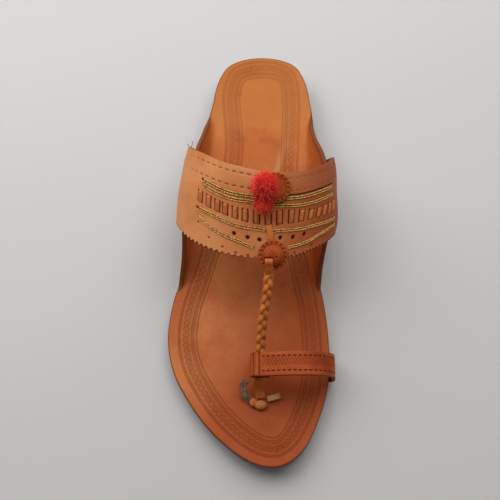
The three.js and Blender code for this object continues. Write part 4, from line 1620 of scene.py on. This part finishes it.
def shade_of(name, description, red, green, blue):
    """A colour property whose default is given in screen values from 0 to 255."""
    def linear(value):
        """A screen value as light, by the usual curve."""
        level = value / 255
        return level / 12.92 if level <= 0.04045 else ((level + 0.055) / 1.055) ** 2.4
    default = (linear(red), linear(green), linear(blue))
    return FloatVectorProperty(name=name, description=description, subtype="COLOR", size=3,
                               min=0.0, max=1.0, default=default)


class SandalFinish(bpy.types.PropertyGroup):
    """The sandal's colours."""
    band_light: shade_of("Band", "Band leather, where it is light", 226, 148, 90)
    band_deep: shade_of("Band, deep", "Band leather, where it is deep", 210, 122, 66)
    insole_light: shade_of("Insole", "Insole leather, where it is light", 216, 128, 68)
    insole_deep: shade_of("Insole, deep", "Insole leather, where it is deep", 196, 100, 42)
    heel_tone: shade_of("Heel", "Insole leather inside the heel's border", 194, 112, 38)
    # Painted shade on the insole towards the toes and the inner side, and on the ears.
    insole_painted_shade: shade_of("Toes", "Insole leather at the toes and on the ears", 166, 66, 8)
    stamp_tone: shade_of("Stamping", "Stamped lines and rings", 132, 54, 22)
    pale_rub: shade_of("Rub", "Pale rub on the heel", 216, 160, 112)
    # Painted shade inside slits, holes, dashes and grooves, along with the darker pressed leather.
    mark_and_hollow_shade: shade_of("Marks", "Inside slits, holes and dashes", 92, 32, 12)
    edge_tone: shade_of("Cut edges", "Cut edges of the leather", 126, 64, 30)
    sole_light: shade_of("Sole", "Outsole and heel leather, light", 160, 100, 60)
    sole_deep: shade_of("Sole, deep", "Outsole and heel leather, deep", 128, 74, 42)
    strap_light: shade_of("Toe strap", "Toe strap leather, light", 186, 82, 18)
    strap_deep: shade_of("Toe strap, deep", "Toe strap leather, deep", 160, 62, 12)
    plait_light: shade_of("Plait", "Plait leather, light", 230, 134, 56)
    plait_deep: shade_of("Plait, deep", "Plait leather, deep", 200, 102, 40)
    pad_light: shade_of("Woven thong", "Woven thong, light", 210, 122, 62)
    pad_deep: shade_of("Woven thong, deep", "Woven thong, deep", 194, 102, 46)
    raw_light: shade_of("Raw thong", "Raw thong ends, light", 206, 152, 98)
    raw_deep: shade_of("Raw thong, deep", "Raw thong ends, deep", 182, 126, 78)
    fuzz_light: shade_of("Fuzzy thong", "Fuzzy thong curl, light", 168, 132, 110)
    fuzz_deep: shade_of("Fuzzy thong, deep", "Fuzzy thong curl, deep", 108, 74, 54)
    wool: shade_of("Wool", "Pompom wool", 255, 84, 64)
    wool_deep: shade_of("Wool, deep", "Pompom wool, deep", 236, 60, 46)
    gold: shade_of("Gold thread", "Gold thread", 240, 192, 108)
    gold_worn: shade_of("Gold thread, worn", "Worn gold thread", 184, 130, 66)
    thread: shade_of("Thread", "Sewing thread", 150, 140, 128)
    # Painted shade on the band towards the inner side, away from the light.
    band_painted_shade: shade_of("Band, inner side", "Band leather towards the inner side", 158, 62, 20)
    floor: shade_of("Floor", "Floor under the sandal", 214, 213, 212)


class SandalSizes(bpy.types.PropertyGroup):
    """Sizes of the trimmings and the stage."""
    cord: FloatProperty(
        name="Gold thread", description="Radius of one thread of the gold cords, in millimetres",
        default=0.25, min=0.1, max=1.0)
    strands: IntProperty(
        name="Wool strands", description="Strands of wool in the pompom", default=2600, min=100,
        max=4000)
    seed: IntProperty(name="Seed", description="Seed of the pompom's strands", default=7, min=0)
    elevation: FloatProperty(
        name="Camera elevation", description="Camera's height above the horizon",
        subtype="ANGLE", default=math.radians(70))
    distance: FloatProperty(
        name="Camera distance", description="Camera's distance from its aim", subtype="DISTANCE",
        unit="LENGTH", default=0.5601)
    lens: FloatProperty(
        name="Lens", description="Camera's focal length, in millimetres", default=64.8, min=10)


def settle(piece, material, slot, *nodes):
    """Gives a piece its finish and its body, and hides the CAD nodes that it stands for."""
    piece.data.materials.append(material)
    if nodes:
        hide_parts(*nodes)
    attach(piece, "root")


# ---------------------------------------------------------------- operators

class SANDAL_OT_sole(bpy.types.Operator):
    """Build the outsole and the heel lift"""
    bl_idname = "sandal.sole"
    bl_label = "Sole and heel"

    def execute(self, context):
        finish = context.scene.sandal_finish
        hide = leather("sole_hide", finish.sole_light, finish.sole_deep, clouds=18.0,
                       grain=0.0002)
        settle(outsole_leather(), hide, "sole_leather", "outsole")
        settle(heel_leather(), hide, "sole_leather", "heel_lift")
        return {"FINISHED"}


class SANDAL_OT_insole(bpy.types.Operator):
    """Build the insole with its turned-up ears"""
    bl_idname = "sandal.insole"
    bl_label = "Insole"

    def execute(self, context):
        hide = insole_finish(context.scene.sandal_finish)
        settle(insole_leather(), hide, "insole_leather", "insole")
        return {"FINISHED"}


class SANDAL_OT_band(bpy.types.Operator):
    """Build the instep band, its woven thongs and its centre thong"""
    bl_idname = "sandal.band"
    bl_label = "Instep band"

    def execute(self, context):
        finish = context.scene.sandal_finish
        settle(band_leather(), band_finish(finish), "band_leather", "instep_band")
        woven = leather("woven_hide", finish.pad_light, finish.pad_deep, clouds=120.0)
        settle(woven_thongs(), woven, "band_leather")
        bright = leather("bright_hide", finish.plait_light, finish.strap_light, clouds=90.0)
        settle(centre_thong(), bright, "plait_leather")
        return {"FINISHED"}


class SANDAL_OT_cords(bpy.types.Operator):
    """Lay the gold cords and sew the threads"""
    bl_idname = "sandal.cords"
    bl_label = "Gold cords and thread"

    def execute(self, context):
        finish = context.scene.sandal_finish
        gold = fibre("gold_thread", finish.gold, finish.gold_worn, 900.0, span=(0.4, 0.65),
                     roughness=0.45, Metallic=0.5)
        settle(zari_cords(context.scene.sandal_sizes.cord), gold, "zari")
        linen = fibre("linen_thread", finish.thread, finish.fuzz_deep, 800.0, detail=3.0,
                      roughness=0.8)
        settle(stitch_threads(), linen, "raw_leather")
        return {"FINISHED"}


class SANDAL_OT_toe_strap(bpy.types.Operator):
    """Build the toe strap"""
    bl_idname = "sandal.toe_strap"
    bl_label = "Toe strap"

    def execute(self, context):
        finish = context.scene.sandal_finish
        hide = leather("strap_hide", finish.strap_light, finish.strap_deep, finish, clouds=60.0)
        settle(toe_strap_leather(), hide, "band_leather", "toe_strap")
        return {"FINISHED"}


class SANDAL_OT_plait(bpy.types.Operator):
    """Braid the plait and tie its tail, curl, end and knot"""
    bl_idname = "sandal.plait"
    bl_label = "Plait and knot"

    def execute(self, context):
        finish = context.scene.sandal_finish
        braid = leather("plait_hide", finish.plait_light, finish.plait_deep, clouds=110.0,
                        pebbles=1300.0)
        settle(plait_leather(), braid, "plait_leather", "plait")
        settle(plait_root(), braid, "plait_leather")
        tail = thong("tail_leather", TAIL_ROUTE, [1, 0.1, 0.05], 5.4, 1.8, fold=0.35)
        settle(tail, braid, "plait_leather", "tail_thong")
        raw = raw_leather("raw_hide", finish.raw_light, finish.raw_deep)
        tan = raw_leather("knot_hide", finish.raw_deep, finish.plait_deep)
        fuzz = raw_leather("fuzzy_hide", finish.fuzz_light, finish.fuzz_deep)
        curl = thong("curl_leather", CURL_ROUTE, [1, 0.35, -0.3], 4.3, 1.6)
        settle(curl, fuzz, "raw_leather", "thong_curl")
        end = thong("end_leather", END_ROUTE, [0.25, 1, 0], 3.4, 1.6, square=0.35)
        settle(end, raw, "raw_leather", "thong_end")
        settle(thong_knot(), tan, "raw_leather", "thong_knot")
        return {"FINISHED"}


class SANDAL_OT_trimmings(bpy.types.Operator):
    """Build the rosettes, the button and the pompom"""
    bl_idname = "sandal.trimmings"
    bl_label = "Rosettes and pompom"

    def execute(self, context):
        finish = context.scene.sandal_finish
        sizes = context.scene.sandal_sizes
        hide = leather("rosette_hide", finish.strap_light, finish.strap_deep, finish,
                       clouds=80.0)
        front = rosette("front_rosette_leather", FRONT_SPOT, radius=8.8, scallops=17)
        settle(front, hide, "band_leather", "front_rosette")
        rear = rosette("rear_rosette_leather", REAR_SPOT, radius=9.0, scallops=18)
        settle(rear, hide, "band_leather", "rear_rosette")
        settle(slotted_button(), hide, "band_leather", "front_button")
        wool = fibre("red_wool", finish.wool, finish.wool_deep, 260.0, span=(0.35, 0.7),
                     roughness=0.9, Sheen_Weight=0.1, Specular_IOR_Level=0.15)
        settle(pompom_wool(sizes.strands, sizes.seed), wool, "wool", "pompom")
        return {"FINISHED"}


STAGE_SIZE = 2.4
AIM_PAST_MIDDLE = (1.6, 2.5)
AIM_HEIGHT = 15.0
CORNERS = ((-1, -1), (1, -1), (1, 1), (-1, 1))
# Name, place from the aim and side in metres, and watts, of each light.
LIGHTS = (
    ("window_light", (0.45, -0.30, 0.55), 0.55, 2.1),
    ("room_light", (0.10, -0.68, 0.62), 1.5, 4.9),
    ("ceiling_light", (-0.22, -0.42, 0.70), 0.9, 3.7),
)
ROOM_STRENGTH = 0.12
SENSOR = 36.0
NEAREST = 0.01


def hold(name, data, place, toward):
    """An object at a place that looks along a direction."""
    holder = bpy.data.objects.new(name, data)
    holder.location = place
    holder.rotation_mode = "QUATERNION"
    holder.rotation_quaternion = Vector(tuple(toward)).to_track_quat("-Z", "Y")
    bpy.context.scene.collection.objects.link(holder)
    return holder


class SANDAL_OT_stage(bpy.types.Operator):
    """Lay the floor, light it and set the camera"""
    bl_idname = "sandal.stage"
    bl_label = "Stage"

    def execute(self, context):
        scene = context.scene
        sizes = scene.sandal_sizes
        mesh = bpy.data.meshes.new("floor")
        half = STAGE_SIZE / 2
        mesh.from_pydata([(x * half, y * half, 0) for x, y in CORNERS], [], [(0, 1, 2, 3)])
        floor = bpy.data.objects.new("floor", mesh)
        scene.collection.objects.link(floor)
        material, _, shader = new_material("pale_floor", roughness=0.9)
        shader.inputs["Base Color"].default_value = colour(scene.sandal_finish.floor)
        mesh.materials.append(material)

        middle = np.mean(CAD_BOX, axis=0)
        aim = np.array([middle[0] + AIM_PAST_MIDDLE[0] * MM, middle[1] + AIM_PAST_MIDDLE[1] * MM,
                        AIM_HEIGHT * MM])
        for name, off, side, power in LIGHTS:
            lamp = bpy.data.lights.new(name, "AREA")
            lamp.shape = "SQUARE"
            lamp.size = side
            lamp.energy = power
            place = aim + np.array(off)
            hold(name, lamp, place, aim - place)
        world = bpy.data.worlds.new("room")
        world.use_nodes = True
        air = world.node_tree.nodes["Background"].inputs
        air["Color"].default_value = (1, 1, 1, 1)
        air["Strength"].default_value = ROOM_STRENGTH
        scene.world = world
        scene.view_settings.view_transform = "Standard"

        lens = bpy.data.cameras.new("camera")
        lens.lens = sizes.lens
        lens.sensor_width = SENSOR
        lens.clip_start = NEAREST
        toward = np.array([0, math.cos(sizes.elevation), math.sin(sizes.elevation)])
        scene.camera = hold("camera", lens, aim + toward * sizes.distance, -toward)
        return {"FINISHED"}


BUILDERS = (
    SANDAL_OT_sole, SANDAL_OT_insole, SANDAL_OT_band, SANDAL_OT_cords, SANDAL_OT_toe_strap,
    SANDAL_OT_plait, SANDAL_OT_trimmings, SANDAL_OT_stage,
)


class SANDAL_PT_builders(bpy.types.Panel):
    """Buttons that build the sandal's pieces, and their settings"""
    bl_label = "Kolhapuri sandal"
    bl_idname = "SANDAL_PT_builders"
    bl_space_type = "VIEW_3D"
    bl_region_type = "UI"
    bl_category = "Sandal"

    def draw(self, context):
        for builder in BUILDERS:
            self.layout.operator(builder.bl_idname)
        for group_of in (context.scene.sandal_sizes, context.scene.sandal_finish):
            for name in group_of.__annotations__:
                self.layout.prop(group_of, name)


CLASSES = (SandalFinish, SandalSizes, *BUILDERS, SANDAL_PT_builders)


def register():
    """Registers the classes and gives every scene its settings."""
    for made in CLASSES:
        bpy.utils.register_class(made)
    bpy.types.Scene.sandal_finish = PointerProperty(type=SandalFinish)
    bpy.types.Scene.sandal_sizes = PointerProperty(type=SandalSizes)


def unregister():
    """Takes the settings and the classes away again."""
    del bpy.types.Scene.sandal_sizes
    del bpy.types.Scene.sandal_finish
    for made in reversed(CLASSES):
        bpy.utils.unregister_class(made)


def main():
    """Registers the add-on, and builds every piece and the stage."""
    register()
    for builder in BUILDERS:
        group_name, name = builder.bl_idname.split(".")
        getattr(getattr(bpy.ops, group_name), name)()


if __name__ == "__main__":
    main()
